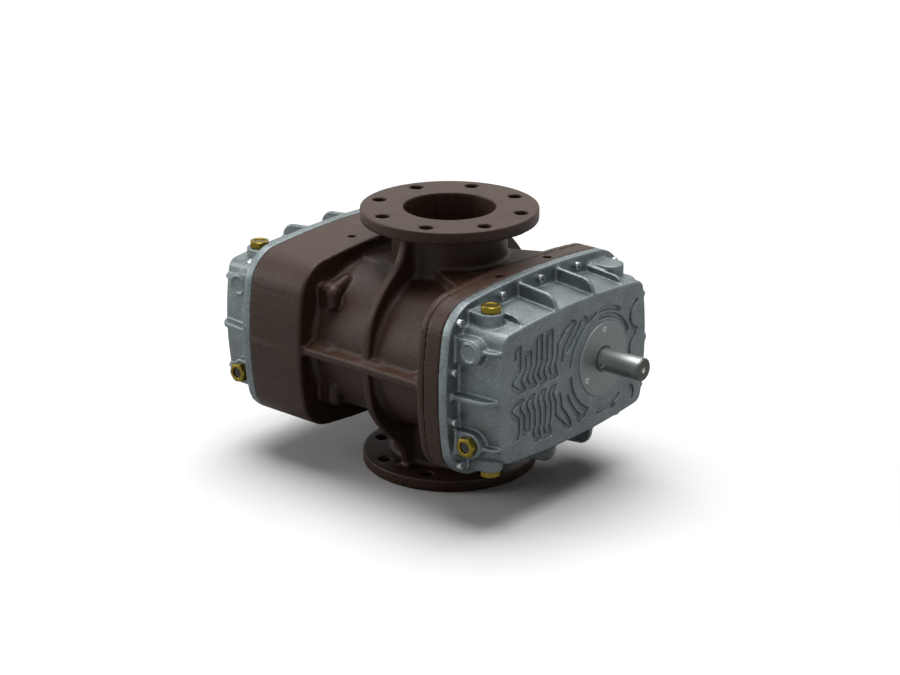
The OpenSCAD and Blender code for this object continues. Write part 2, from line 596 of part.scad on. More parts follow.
// Brass plug with a hexagon head, seated at z = 0 and pointing up
module brass_plug() {
    cylinder(d = brass_af * 1.12, h = plug_head_t * 0.75, $fn = 6);
    cylinder(d = brass_af * 0.98, h = plug_head_t);
    translate([0, 0, -plug_thread_l]) cylinder(d = brass_thread_d, h = plug_thread_l + 1);
}
module on_covers() {
    translate([joint_x, 0, mid_z]) children();
    translate([housing_back_x, 0, mid_z]) mirror([1, 0, 0]) children();
}
module fill_plugs() color(brass) on_covers() translate([boss_out, -top_boss_y, boss_top_z]) brass_plug();
module drain_plugs() color(brass) on_covers() translate([boss_out, -top_boss_y, -boss_top_z]) mirror([0, 0, 1]) brass_plug();
module sight_glass_bodies() color(brass) on_covers() translate([boss_out, -boss_side_y, -side_boss_z]) rotate([90, 0, 0])
    difference() {
        union() {
            cylinder(d = brass_af * 1.12, h = plug_head_t * 0.8, $fn = 6);
            cylinder(d = brass_af * 0.96, h = plug_head_t);
            translate([0, 0, -plug_thread_l]) cylinder(d = brass_thread_d, h = plug_thread_l + 1);
        }
        translate([0, 0, -plug_thread_l - 1]) cylinder(d = glass_d - 4, h = plug_thread_l + plug_head_t);
        translate([0, 0, plug_head_t - 6]) cylinder(d = glass_d + 2 * fit_gap, h = 7);
    }
module sight_glass_lenses() color(glass) on_covers() translate([boss_out, -boss_side_y, -side_boss_z]) rotate([90, 0, 0])
    translate([0, 0, plug_head_t - 6]) cylinder(d = glass_d, h = 3.5);

// Ball bearings: the races are grooved for the balls, which run in a cage
race_mid_r = (bearing_bore + bearing_d) / 4;
race_t = 8;
groove_r = ball_d / 2 + 0.35;
module outer_ring(x0) difference() {
    rod_x(x0, x0 + bearing_w, 0, bearing_d / 2);
    rod_x(x0 - 1, x0 + bearing_w + 1, 0, race_mid_r + ball_d * 0.3);
    translate([x0 + bearing_w / 2, 0, mid_z]) rotate([0, 90, 0]) rotate_extrude() translate([race_mid_r, 0]) circle(groove_r);
}
module inner_ring(x0) difference() {
    rod_x(x0, x0 + bearing_w, 0, race_mid_r - ball_d * 0.3);
    rod_x(x0 - 1, x0 + bearing_w + 1, 0, bearing_bore / 2 + fit_gap / 2);
    translate([x0 + bearing_w / 2, 0, mid_z]) rotate([0, 90, 0]) rotate_extrude() translate([race_mid_r, 0]) circle(groove_r);
}
module ball_set(x0) translate([x0 + bearing_w / 2, 0, mid_z]) rotate([0, 90, 0]) {
    for (i = [0:ball_count - 1]) rotate([0, 0, i * 360 / ball_count]) translate([race_mid_r, 0, 0]) sphere(d = ball_d);
    difference() {
        translate([0, 0, -ball_d * 0.6]) cylinder(r = race_mid_r + 2, h = ball_d * 1.2);
        translate([0, 0, -ball_d]) cylinder(r = race_mid_r - 2, h = ball_d * 2);
        for (i = [0:ball_count - 1]) rotate([0, 0, i * 360 / ball_count]) translate([race_mid_r - 10, 0, 0])
            rotate([0, 90, 0]) cylinder(d = ball_d + 0.4, h = 20);
    }
}
module front_outer_rings() color(steel) both_axes() outer_ring(front_bearing_x);
module rear_outer_rings() color(steel) both_axes() outer_ring(end_wall_x);
module drive_inner_rings() color(steel) translate([0, axis_y, 0]) { inner_ring(front_bearing_x); inner_ring(end_wall_x); }
module driven_inner_rings() color(steel) translate([0, -axis_y, 0]) { inner_ring(front_bearing_x); inner_ring(end_wall_x); }
module balls_front_drive() color(steel) translate([0, axis_y, 0]) ball_set(front_bearing_x);
module balls_front_driven() color(steel) translate([0, -axis_y, 0]) ball_set(front_bearing_x);
module balls_rear_drive() color(steel) translate([0, axis_y, 0]) ball_set(end_wall_x);
module balls_rear_driven() color(steel) translate([0, -axis_y, 0]) ball_set(end_wall_x);

module retainer(x0) difference() {
    rod_x(x0, x0 + retainer_t, 0, retainer_d / 2);
    rod_x(x0 - 1, x0 + retainer_t + 1, 0, bearing_d / 2 - race_t);
    retainer_holes(x0 - 1, retainer_t + 1);
}
module front_retainers() color(dark_steel) both_axes() retainer(front_boss_x);
module rear_retainers() color(dark_steel) both_axes() retainer(end_wall_x - retainer_t);
module retainer_screws() color(dark_steel) both_axes() for (a = [90, 210, 330])
    translate([0, retainer_screw_r * cos(a), mid_z + retainer_screw_r * sin(a)]) {
        translate([front_boss_x + retainer_t, 0, 0]) socket_screw(small_screw_d, retainer_t + 15);
        translate([end_wall_x - retainer_t, 0, 0]) mirror([1, 0, 0]) socket_screw(small_screw_d, retainer_t + 15);
    }
module chamber_seals() color(rubber) both_axes() {
    for (x0 = [front_bearing_x - seal_w, rear_bearing_x]) difference() {
        rod_x(x0 + 0.2, x0 + seal_w - 0.2, 0, seal_d / 2);
        rod_x(x0 - 1, x0 + seal_w + 1, 0, hole_run_r);
    }
}

// Two-lobe cycloid rotor: outside the pitch circle it is an epicycloid, inside it a hypocycloid
function epi(t) = [(pitch_r + roll_r) * cos(t) - roll_r * cos(5 * t), (pitch_r + roll_r) * sin(t) - roll_r * sin(5 * t)];
function hypo(t) = [(pitch_r - roll_r) * cos(t) + roll_r * cos(3 * t), (pitch_r - roll_r) * sin(t) - roll_r * sin(3 * t)];
function lobe_point(t) = let(u = (t + 360) % 180) u < 90 ? epi(t) : hypo(t);
// Each point is drawn in along the outline's own normal by half the running gap
function lobe_in(t) = let(p = lobe_point(t), q = lobe_point(t + 0.5) - lobe_point(t - 0.5), n = [-q[1], q[0]] / norm(q))
    p + n * lobe_gap / 2;
module rotor_2d() {
    step = 90 / 18;
    polygon([for (i = [0:71]) lobe_in(i * step)]);
}
module rotor(turn) {
    translate([0, 0, mid_z]) along_x(chamber_back_x + chamber_gap, chamber_back_x + chamber_gap + rotor_l)
        rotate(turn) difference() {
            rotate(-45) rotor_2d();
            circle(d = rotor_shaft_d + fit_gap);
            for (s = [-1, 1]) translate([s * pitch_r, 0]) circle(r = 17);
        }
}
module drive_rotor() color(dark_steel) translate([0, axis_y, 0]) rotor(90);
module driven_rotor() color(dark_steel) translate([0, -axis_y, 0]) rotor(0);

// Shafts, turned in steps
gear_x1 = end_wall_x - retainer_t - 6;
gear_x0 = gear_x1 - gear_w;
nut_x0 = gear_x0 - nut_t - 0.3;
front_nut_x1 = front_boss_x + nut_t + 0.3;
slinger_x = front_boss_x + retainer_t + small_screw_d + 4;
module stepped(steps) {
    translate([0, 0, mid_z]) rotate([0, 90, 0]) rotate_extrude()
        polygon(concat([[0, steps[0][0]]], [for (s = steps) each [[s[2], s[0]], [s[2], s[1]]]], [[0, steps[len(steps) - 1][1]]]));
}
module rotor_shaft_steps(front_steps) {
    stepped(concat([[nut_x0 - 4, gear_x0, shaft_step_r - 4], [gear_x0, rear_bearing_x, shaft_step_r],
        [rear_bearing_x, front_bearing_x, rotor_shaft_d / 2], [front_bearing_x, front_nut_x1, shaft_step_r]], front_steps));
}
module drive_shaft() color(steel) translate([0, axis_y, 0]) difference() {
    rotor_shaft_steps([[front_nut_x1, seal_face_x, journal_r], [seal_face_x, shaft_end_x - 1.5, shaft_end_d / 2],
        [shaft_end_x - 1.5, shaft_end_x, shaft_end_d / 2 - 1.5]]);
    translate([shaft_end_x - 10 - key_l / 2, 0, mid_z]) rotate([key_turn, 0, 0])
        translate([0, -shaft_end_d / 2 + key_depth, 0]) rotate([90, 0, 0]) linear_extrude(key_depth + 5) {
        square([key_l - key_w, key_w], center = true);
        for (s = [-1, 1]) translate([s * (key_l - key_w) / 2, 0]) circle(d = key_w);
    }
    translate([shaft_end_x + 1, 0, mid_z]) rotate([0, -90, 0]) { cylinder(r1 = 5.3, r2 = 2, h = 6); cylinder(r = 2, h = 12); }
}
module driven_shaft() color(steel) translate([0, -axis_y, 0])
    rotor_shaft_steps([[front_nut_x1, slinger_x, shaft_step_r - 2],
        [slinger_x, slinger_x + slinger_t + nut_t + 3, shaft_step_r - 6]]);

module shaft_nut(x0, r_in, t = nut_t) difference() {
    rod_x(x0, x0 + t, 0, nut_r);
    rod_x(x0 - 1, x0 + t + 1, 0, r_in + fit_gap / 2);
    for (a = [45:90:315]) translate([x0 - 1, nut_r * cos(a), mid_z + nut_r * sin(a)]) rotate([a, 0, 0])
        translate([0, -3, -3]) cube([t + 2, 6, 6]);
}
module drive_nuts() color(dark_steel) translate([0, axis_y, 0]) {
    shaft_nut(front_boss_x, shaft_step_r);
    shaft_nut(gear_x0 - nut_t, shaft_step_r - 4);
}
module driven_nuts() color(dark_steel) translate([0, -axis_y, 0]) {
    shaft_nut(front_boss_x, shaft_step_r);
    shaft_nut(slinger_x + slinger_t, shaft_step_r - 6);
    shaft_nut(gear_x0 - nut_t, shaft_step_r - 4);
}
module oil_slinger() color(dark_steel) translate([0, -axis_y, 0]) difference() {
    rod_x(slinger_x, slinger_x + slinger_t, 0, slinger_d / 2);
    rod_x(slinger_x - 1, slinger_x + slinger_t + 1, 0, shaft_step_r - 6 + fit_gap / 2);
}

// Timing gears: involute teeth of 20 degrees, thinned by the backlash
gear_m = axis_gap / gear_teeth;
gear_pitch_r = axis_gap / 2;
gear_base_r = gear_pitch_r * cos(20);
function inv(a) = tan(a) * 180 / PI - a;
function flank_angle(r) = r <= gear_base_r ? inv(20) : inv(20) - inv(acos(gear_base_r / r));
function tooth(i) = let(half = 90 / gear_teeth - backlash / 4 / gear_pitch_r * 180 / PI, c = i * 360 / gear_teeth,
        rs = [gear_pitch_r - 1.25 * gear_m, gear_base_r, gear_pitch_r, gear_pitch_r + 0.5 * gear_m, gear_pitch_r + gear_m])
    concat([for (r = rs) let(a = c - half - flank_angle(r)) r * [cos(a), sin(a)]],
        [for (k = [4:-1:0]) let(r = rs[k], a = c + half + flank_angle(r)) r * [cos(a), sin(a)]]);
module timing_gear(turn) {
    translate([0, 0, mid_z]) difference() {
        union() {
            along_x(gear_x0, gear_x1) polygon([for (i = [0:gear_teeth - 1]) each tooth(i + turn)]);
            translate([gear_x1 - 1, 0, 0]) rotate([0, 90, 0]) cylinder(r = 33, h = end_wall_x - gear_x1 + 1);
        }
        translate([gear_x0 - 1, 0, 0]) rotate([0, 90, 0]) {
            cylinder(r = shaft_step_r + fit_gap / 2, h = gear_w + 20);
            for (h = [0, gear_w - 7]) translate([0, 0, h]) rotate_extrude() translate([33.5, 0]) square([gear_pitch_r - 14 - 33.5, 9]);
            for (a = [10:60:310]) rotate(a) translate([46, 0, -1]) cylinder(r = 7, h = gear_w + 4);
        }
    }
}
module drive_gear() color(dark_steel) translate([0, axis_y, 0]) timing_gear(0.25);
module driven_gear() color(dark_steel) translate([0, -axis_y, 0]) timing_gear(0.25);

casing();
side_plate();
drive_cover();
gear_cover();
shaft_seal_cover();
shaft_lip_seal();
seal_cover_screws();
drive_cover_screws();
gear_cover_screws();
side_plate_screws();
dowel_pins();
fill_plugs();
drain_plugs();
sight_glass_bodies();
sight_glass_lenses();
front_outer_rings();
rear_outer_rings();
front_retainers();
rear_retainers();
retainer_screws();
chamber_seals();
drive_rotor();
drive_shaft();
drive_inner_rings();
drive_gear();
drive_nuts();
driven_rotor();
driven_shaft();
driven_inner_rings();
driven_gear();
driven_nuts();
oil_slinger();
balls_front_drive();
balls_front_driven();
balls_rear_drive();
balls_rear_driven();
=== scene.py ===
import bpy
import math
import numpy as np
from mathutils import Matrix, Vector


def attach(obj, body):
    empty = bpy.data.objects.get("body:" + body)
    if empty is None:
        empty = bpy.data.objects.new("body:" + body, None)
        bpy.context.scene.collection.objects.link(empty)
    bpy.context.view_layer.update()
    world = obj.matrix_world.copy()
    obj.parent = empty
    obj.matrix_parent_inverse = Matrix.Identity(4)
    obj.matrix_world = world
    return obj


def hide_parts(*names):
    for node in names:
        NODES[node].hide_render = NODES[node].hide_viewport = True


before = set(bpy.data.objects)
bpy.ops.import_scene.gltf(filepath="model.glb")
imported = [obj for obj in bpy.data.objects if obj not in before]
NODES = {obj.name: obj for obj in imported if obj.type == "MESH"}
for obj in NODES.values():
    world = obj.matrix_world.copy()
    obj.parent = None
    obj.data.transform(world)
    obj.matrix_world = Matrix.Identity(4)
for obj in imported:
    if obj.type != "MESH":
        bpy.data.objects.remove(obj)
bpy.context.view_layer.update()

bl_info = {
    "name": "Rotary lobe blower",
    "version": (1, 0, 0),
    "blender": (4, 5, 0),
    "location": "3D View > Sidebar > Blower",
    "description": "Builds the looks of a rotary lobe blower on its packed frame",
    "category": "Object",
}

# Sizes of the castings in millimetres, with x from the port axis and z from the middle of the height
MM = 0.001
MID_Z = 220.0
AXIS_Y = 72.0
HALF_W, HALF_H = 226.0, 152.0
SIDE_BOW_R, TOP_BOW_R, CORNER_R = 520.0, 1500.0, 40.0
HOUSING_BACK_X, HOUSING_FRONT_X = -238.0, -125.0
FLANGE_BACK_X, BODY_FRONT_X, JOINT_X = 124.0, 138.0, 168.0
# The chamber is 1 mm wider than the solids' one, so that the coarse grid leaves the rotors room
CHAMBER_BACK_X, END_WALL_X, CASE_WALL = -120.8, -165.0, 30.0
CHAMBER_R, BARREL_R = 109.2, 124.2
PORT_R, NECK_R, FLANGE_R, FLANGE_T = 75.0, 94.0, 145.0, 20.0
BOLT_CIRCLE_R, BOLT_HOLE_R, BOLT_COUNT = 120.0, 11.5, 8
COVER_DEPTH, RIM_T, COVER_LAND, COVER_DRAFT, COVER_WALL = 92.0, 16.0, 28.0, 9.0, 8.0
BOSS_OUT, BOSS_R, PLUG_HOLE_R = 44.0, 21.0, 10.6
TOP_BOSS_Y, TOP_BOSS_Z, SIDE_BOSS_Y, SIDE_BOSS_Z = 153.0, 130.0, 205.0, 76.0
HUB_R, HUB_DEPTH, SEAL_BORE_R, SEAL_COVER_OUT = 76.0, 28.0, 43.1, 2.4
SEAL_SCREW_CIRCLE_R, SEAL_SCREW_TURNS = 50.0, (90, 210, 330)
SCREW_INSET, SCREW_HOLE_R, SCREW_SCOOP_R = 14.0, 4.1, 7.4
BEARING_R, CHAMBER_SEAL_R, SHAFT_HOLE_R = 50.1, 36.1, 25.5
LIFT_HOLE_R, LIFT_HOLE_FLOOR_Z = 7.0, 127.0
GROOVE_PITCH, GROOVE_HALF_W, GROOVE_DEPTH = 13.25, 3.8, 4.8
# Top of the pads beside the necks, and how much nearer the shelf the lower lugs sit
PAD_TOP, LUG_LOWER_SHIFT = 139.0, 12.0
# Most triangles in one piece, and a distance beyond every surface
MOST_TRIANGLES, FAR = 190000, 1e3


# Distance fields: negative inside, arrays that broadcast over x, y and z
def blend_min(a, b, k):
    h = np.clip(0.5 + 0.5 * (b - a) / k, 0.0, 1.0)
    return b + (a - b) * h - k * h * (1.0 - h)


def blend_max(a, b, k):
    return -blend_min(-a, -b, k)


def plate_field(y, z, inset=0.0):
    """Distance to the bowed outline that plates and cover rims share."""
    corner = np.maximum(CORNER_R - inset, 12.0)
    side_r, top_r = SIDE_BOW_R - inset, TOP_BOW_R - inset
    side = np.hypot(np.abs(y) + side_r - (HALF_W - inset), z) - side_r
    top = np.hypot(y, np.abs(z) + top_r - (HALF_H - inset)) - top_r
    out = np.hypot(np.maximum(side + corner, 0.0), np.maximum(top + corner, 0.0))
    return np.minimum(np.maximum(side, top) + corner, 0.0) + out - corner


def slab(v, low, high):
    return np.abs(v - 0.5 * (low + high)) - 0.5 * (high - low)


def box_field(x, y, z, low, high, r=0.0):
    d = [slab(v, a, b) + r for v, a, b in zip((x, y, z), low, high)]
    out = np.sqrt(np.maximum(d[0], 0.0) ** 2 + np.maximum(d[1], 0.0) ** 2 + np.maximum(d[2], 0.0) ** 2)
    return out + np.minimum(np.maximum(np.maximum(d[0], d[1]), d[2]), 0.0) - r


def capsule(x, y, z, a, b, r):
    a, b = np.array(a, float), np.array(b, float)
    d = b - a
    t = np.clip(((x - a[0]) * d[0] + (y - a[1]) * d[1] + (z - a[2]) * d[2]) / d.dot(d), 0.0, 1.0)
    return np.sqrt((x - a[0] - t * d[0]) ** 2 + (y - a[1] - t * d[1]) ** 2 + (z - a[2] - t * d[2]) ** 2) - r


def grid_axes(low, high, step):
    axes = [np.arange(a - 2 * step, b + 3 * step, step, dtype=np.float32) for a, b in zip(low, high)]
    x, y, z = axes
    origin = np.array([x[0], y[0], z[0]])
    return x[:, None, None], y[None, :, None], z[None, None, :], origin


def surface_net(field, origin, step):
    """Quads round the places where the field changes sign, one vertex in each cell it crosses."""
    inside = field < 0
    count = np.zeros(tuple(n - 1 for n in field.shape), np.int8)
    corners = [(i, j, k) for i in (0, 1) for j in (0, 1) for k in (0, 1)]
    view = [slice(0, -1), slice(1, None)]
    for i, j, k in corners:
        count += inside[view[i], view[j], view[k]]
    active = (count > 0) & (count < 8)
    number = np.full(active.shape, -1, np.int64)
    cells = np.argwhere(active)
    number[active] = np.arange(len(cells))
    total = np.zeros((len(cells), 3))
    hits = np.zeros(len(cells))
    for a in corners:
        for axis in range(3):
            if a[axis]:
                continue
            b = list(a)
            b[axis] = 1
            fa = field[tuple((cells + a).T)]
            fb = field[tuple((cells + b).T)]
            cross = (fa < 0) != (fb < 0)
            t = fa[cross] / (fa[cross] - fb[cross])
            point = np.tile(np.array(a, float), (len(t), 1))
            point[:, axis] += t
            total[cross] += point
            hits[cross] += 1
    verts = origin + step * (cells + total / hits[:, None])
    quads = []
    for axis in range(3):
        other = [n for n in range(3) if n != axis]
        low = [slice(1, -1)] * 3
        low[axis] = slice(0, -1)
        high = list(low)
        high[axis] = slice(1, None)
        first, second = inside[tuple(low)], inside[tuple(high)]
        for solid_first in (True, False):
            at = np.argwhere((first & ~second) if solid_first else (~first & second))
            base = at.copy()
            base[:, other] += 1
            ring = []
            for du, dv in ((1, 1), (0, 1), (0, 0), (1, 0)):
                cell = base.copy()
                cell[:, other[0]] -= du
                cell[:, other[1]] -= dv
                ring.append(number[tuple(cell.T)])
            if solid_first == (axis == 1):
                ring.reverse()
            quads.append(np.stack(ring, 1))
    return verts, np.concatenate(quads)


def linked_object(name, data):
    obj = bpy.data.objects.new(name, data)
    bpy.context.scene.collection.objects.link(obj)
    return obj


def mesh_object(name, verts, quads):
    """Plain mesh object from millimetre points, thinned to a triangle limit."""
    mesh = bpy.data.meshes.new(name)
    mesh.vertices.add(len(verts))
    mesh.vertices.foreach_set("co", (verts * MM).astype(np.float32).ravel())
    mesh.loops.add(quads.size)
    mesh.loops.foreach_set("vertex_index", quads.astype(np.int32).ravel())
    mesh.polygons.add(len(quads))
    mesh.polygons.foreach_set("loop_start", np.arange(0, quads.size, quads.shape[1], dtype=np.int32))
    mesh.update(calc_edges=True)
    obj = linked_object(name, mesh)
    triangles = len(quads) * (quads.shape[1] - 2)
    if triangles > MOST_TRIANGLES:
        thin = obj.modifiers.new("thin", "DECIMATE")
        thin.ratio = MOST_TRIANGLES / triangles
        apply_modifiers(obj)
    obj.data.shade_smooth()
    return obj


def apply_modifiers(obj):
    graph = bpy.context.evaluated_depsgraph_get()
    graph.update()
    mesh = bpy.data.meshes.new_from_object(obj.evaluated_get(graph))
    obj.modifiers.clear()
    old = obj.data
    obj.data = mesh
    bpy.data.meshes.remove(old)


def rim_places():
    """Centres of the screws round a cover rim, as y and z from the rim's middle."""
    side = lambda z: (HALF_W - SIDE_BOW_R + math.sqrt((SIDE_BOW_R - SCREW_INSET) ** 2 - z * z), z)
    top = lambda y: (y, HALF_H - TOP_BOW_R + math.sqrt((TOP_BOW_R - SCREW_INSET) ** 2 - y * y))
    p, q = np.array([HALF_W - SIDE_BOW_R, 0.0]), np.array([0.0, HALF_H - TOP_BOW_R])
    d = np.linalg.norm(q - p)
    e = (q - p) / d
    rp, rq = SIDE_BOW_R - CORNER_R, TOP_BOW_R - CORNER_R
    m = (rp * rp - rq * rq + d * d) / (2 * d)
    h = math.sqrt(rp * rp - m * m)
    corner = p + e * m + np.array([-e[1], e[0]]) * h
    turn = math.radians(37)
    corner = corner + (CORNER_R - SCREW_INSET) * np.array([math.cos(turn), math.sin(turn)])
    quarter = [top(2 * HALF_W * 0.21), tuple(corner), side(2 * HALF_H * 0.135)]
    places = [top(0.0), (0.0, -top(0.0)[1])]
    for y, z in quarter:
        places += [(s * y, t * z) for s in (-1, 1) for t in (-1, 1)]
    return places


def seal_screw_places():
    """Centres of the screws in the seal cover, as y and z from the rim's middle."""
    turns = [math.radians(turn) for turn in SEAL_SCREW_TURNS]
    return [(AXIS_Y + SEAL_SCREW_CIRCLE_R * math.cos(a), SEAL_SCREW_CIRCLE_R * math.sin(a)) for a in turns]


# Body casting
def girth_width(az):
    """Half width of the girth rib at a height from the middle, averaged so that its bends are round."""
    heights = [0, 16, 26, 51, 76, 95, 116, 137, 153, 170, 190, 200, 240]
    widths = [208, 208, 206, 203, 197, 186, 170, 149, 128, 119, 114, 112, 112]
    return np.mean([np.interp(az + d, heights, widths) for d in (-9, -4, 0, 4, 9)], axis=0)


def casting_field(x, y, z):
    ay, az, ax = np.abs(y), np.abs(z), np.abs(x)
    housing = blend_max(plate_field(y, z), slab(x, HOUSING_BACK_X, HOUSING_FRONT_X), 1.5)
    front_edge = blend_max(plate_field(y, z), slab(x, HOUSING_BACK_X - 20, HOUSING_FRONT_X), 4.5)
    housing = np.maximum(housing, front_edge)
    flange = blend_max(plate_field(y, z), slab(x, FLANGE_BACK_X, BODY_FRONT_X + 6), 4.0)
    flange = np.maximum(flange, x - BODY_FRONT_X)
    barrel = np.hypot(ay - AXIS_Y, z) - BARREL_R
    saddle = np.maximum(az - BARREL_R, ay - AXIS_Y)
    trunk = np.maximum(blend_min(barrel, saddle, 14.0), slab(x, HOUSING_FRONT_X - 6, BODY_FRONT_X))
    neck = np.maximum(np.hypot(x, y) - NECK_R, az - 210.0)
    body = blend_min(trunk, neck, 12.0)
    disc = blend_max(np.hypot(x, y) - FLANGE_R, slab(az, MID_Z - FLANGE_T, MID_Z), 1.2)
    body = blend_min(body, disc, 11.0)
    body = blend_min(body, housing, 13.0)
    body = blend_min(body, flange, 11.0)
    girth = blend_max((ay - girth_width(az)) * 0.8, ax - 7.5, 3.0)
    girth = np.maximum(girth, az - 206.0)
    body = blend_min(body, girth, 11.0)
    shelf_span = slab(x, HOUSING_FRONT_X - 6, FLANGE_BACK_X + 6)
    shelf = blend_max(np.maximum(ay - 221.0, shelf_span), slab(z, -4.0, 10.0), 3.0)
    body = blend_min(body, shelf, 6.0)
    pad = blend_max((ay - 82.0 - (ax - 45.0) * 0.49) * 0.9, az - PAD_TOP, 4.0)
    pad = np.maximum(np.maximum(pad, 45.0 - x), shelf_span)
    body = blend_min(body, pad, 9.0)
    # Lugs beside the gear housing: two domes, a bar, a web and a rib
    lug_x = HOUSING_FRONT_X + 25.0
    lug_z = np.where(z < 0.0, az + LUG_LOWER_SHIFT, az)
    lug = capsule(x, ay, lug_z, (lug_x + 4, 176, 62), (lug_x + 4, 176, 95), 11.5)
    lug = blend_min(lug, capsule(x, ay, lug_z, (lug_x - 12, 171, 62), (lug_x - 12, 171, 98), 11.5), 5.0)
    lug = blend_max(lug, 75.0 + (176.0 - ay) * 0.4 - lug_z, 3.0)
    bar = capsule(x, ay, lug_z, (lug_x + 1, 171, 97), (lug_x - 4, 136, 104), 11.0)
    web = box_field(x, ay, lug_z, (HOUSING_FRONT_X - 4, 126, 86), (lug_x - 6, 181, 104), 4.0)
    rib = box_field(x, ay, lug_z, (HOUSING_FRONT_X - 4, 170, 4), (lug_x - 9, 180, 98), 3.0)
    lug = blend_min(blend_min(lug, bar, 8.0), blend_min(web, rib, 5.0), 6.0)
    body = blend_min(body, lug, 7.0)
    # Low bosses on the shelf
    for boss_x, spread in ((HOUSING_FRONT_X + 14, 26.0), (16.0, 8.0), (FLANGE_BACK_X - 16, 0.0)):
        out_y = BARREL_R + AXIS_Y + 3.0
        mound = capsule(x, ay, z, (boss_x, out_y, 2.2), (boss_x + spread + 0.1, out_y, 2.2), 13.0)
        body = blend_min(body, np.maximum(mound, -z), 7.0)
    return body


def casting_holes(x, y, z):
    ay, az = np.abs(y), np.abs(z)
    radius = np.hypot(x, y)
    axis_r = np.hypot(ay - AXIS_Y, z)
    holes = np.maximum(axis_r - CHAMBER_R, slab(x, CHAMBER_BACK_X, BODY_FRONT_X + 9))
    holes = np.minimum(holes, np.maximum(radius - PORT_R, AXIS_Y / 2 - az))
    holes = np.minimum(holes, np.maximum(plate_field(y, z, CASE_WALL), x - END_WALL_X))
    holes = np.minimum(holes, np.maximum(axis_r - BEARING_R, x - END_WALL_X - 25.0))
    holes = np.minimum(holes, np.maximum(axis_r - CHAMBER_SEAL_R, x - END_WALL_X - 35.0))
    holes = np.minimum(holes, np.maximum(axis_r - SHAFT_HOLE_R, x))
    for i in range(BOLT_COUNT):
        a = (i + 0.5) * 2 * math.pi / BOLT_COUNT
        bolt = np.hypot(x - BOLT_CIRCLE_R * math.cos(a), y - BOLT_CIRCLE_R * math.sin(a)) - BOLT_HOLE_R
        holes = np.minimum(holes, np.maximum(bolt, 199.0 - az))
    lift = np.maximum(np.hypot(x + 160.0, ay - 60.0) - LIFT_HOLE_R, LIFT_HOLE_FLOOR_Z - z)
    holes = np.minimum(holes, lift)
    for py, pz in rim_places():
        screw = np.hypot(y - py, z - pz) - SCREW_HOLE_R
        holes = np.minimum(holes, np.maximum(screw, x - HOUSING_BACK_X - 20.0))
    return holes


def side_plate_field(x, y, z):
    body = blend_max(plate_field(y, z), slab(x, BODY_FRONT_X - 6, JOINT_X), 1.2)
    body = np.maximum(body, BODY_FRONT_X - x)
    axis_r = np.hypot(np.abs(y) - AXIS_Y, z)
    boss = np.maximum(axis_r - 63.0, slab(x, JOINT_X - 4, JOINT_X + 24))
    body = blend_min(body, boss, 4.0)
    holes = np.maximum(axis_r - BEARING_R, JOINT_X - 1.0 - x)
    holes = np.minimum(holes, np.maximum(axis_r - CHAMBER_SEAL_R, JOINT_X - 11.0 - x))
    holes = np.minimum(holes, axis_r - SHAFT_HOLE_R)
    lift = np.maximum(np.hypot(x - 153.0, np.abs(y) - 61.0) - LIFT_HOLE_R, LIFT_HOLE_FLOOR_Z - z)
    holes = np.minimum(holes, lift)
    for py, pz in rim_places():
        screw = np.hypot(y - py, z - pz) - SCREW_HOLE_R
        holes = np.minimum(holes, np.maximum(screw, JOINT_X - 20.0 - x))
    return np.maximum(body, -holes)


# Oil covers, with x from their joint outwards
def polyline_field(y, z, points):
    out = np.full(np.broadcast(y, z).shape, FAR, np.float32)
    for (ay, az), (by, bz) in zip(points, points[1:]):
        dy, dz = by - ay, bz - az
        t = np.clip(((y - ay) * dy + (z - az) * dz) / (dy * dy + dz * dz), 0.0, 1.0)
        out = np.minimum(out, np.hypot(y - ay - t * dy, z - az - t * dz))
    return out


def arc_points(cy, cz, r, start, end):
    steps = max(4, int(abs(end - start) / 8))
    angles = np.radians(np.linspace(start, end, steps))
    return [(cy + r * math.cos(a), cz + r * math.sin(a)) for a in angles]


def meander(first, swings, tops, lows, turn_z, rising):
    """One groove that runs up and down in legs, which swing aside at one height and join by turns."""
    swell = lambda h, at, half: np.cos(np.clip((h - at) / half, -1, 1) * math.pi / 2) ** 2
    points = []
    for k, (swing, top, low) in enumerate(zip(swings, tops, lows)):
        h = np.linspace(low, top, 14)
        y = first + GROOVE_PITCH * k - swing * swell(h, turn_z, 20.0) - 4.0 * swell(h, -73.0, 12.0)
        leg = list(zip(y, h))
        points += leg if rising else leg[::-1]
        rising = not rising
    return points


def face_groove_lines():
    """Centre lines of the grooves cast into a cover's face."""
    upper = meander(-139.6, (20, 11, 9.5, 9, 9, 8, 7, 5), (78, 63, 63, 82, 82, 83, 83, 58), (6,) * 8,
                    22.0, False)
    lower = meander(-141.6, (19, 11, 8, 7, 6, 5.5, 5, 8), (-11,) * 8,
                    (-71, -66, -67, -86, -87, -88, -88, -64), -23.0, True)
    upper = [(-152, 62), (-151, 78)] + upper
    upper += [(-28, 78), (-12, 85), (-2, 80), (-26, 54), (-33, 44), (-35, 25)]
    lower = lower + [(-38, -74), (-26, -85), (-18, -91), (-10, -91), (-14, -80), (-24, -67), (-35, -54),
                     (-36, -40), (-39, -30)]
    lines = [upper, lower]
    lines += [[(-22, 40), (6, 70), (12, 82), (22, 82), (30, 73)], [(8, -84), (16, -90), (26, -84)]]
    about_seal = ((86, 104, 172), (83, 186, 243), (97, 202, 233), (87, 60, 95), (75, 27, 96), (86, 263, 303))
    lines += [arc_points(AXIS_Y - 1.0, -3.0, *one) for one in about_seal]
    beside = ((170, 50, 26, 110, 255), (170, -5, 26, 115, 205), (141, -84, 16, -30, 60),
              (100, -112, 22, 74, 106))
    lines += [arc_points(*one) for one in beside]
    return lines


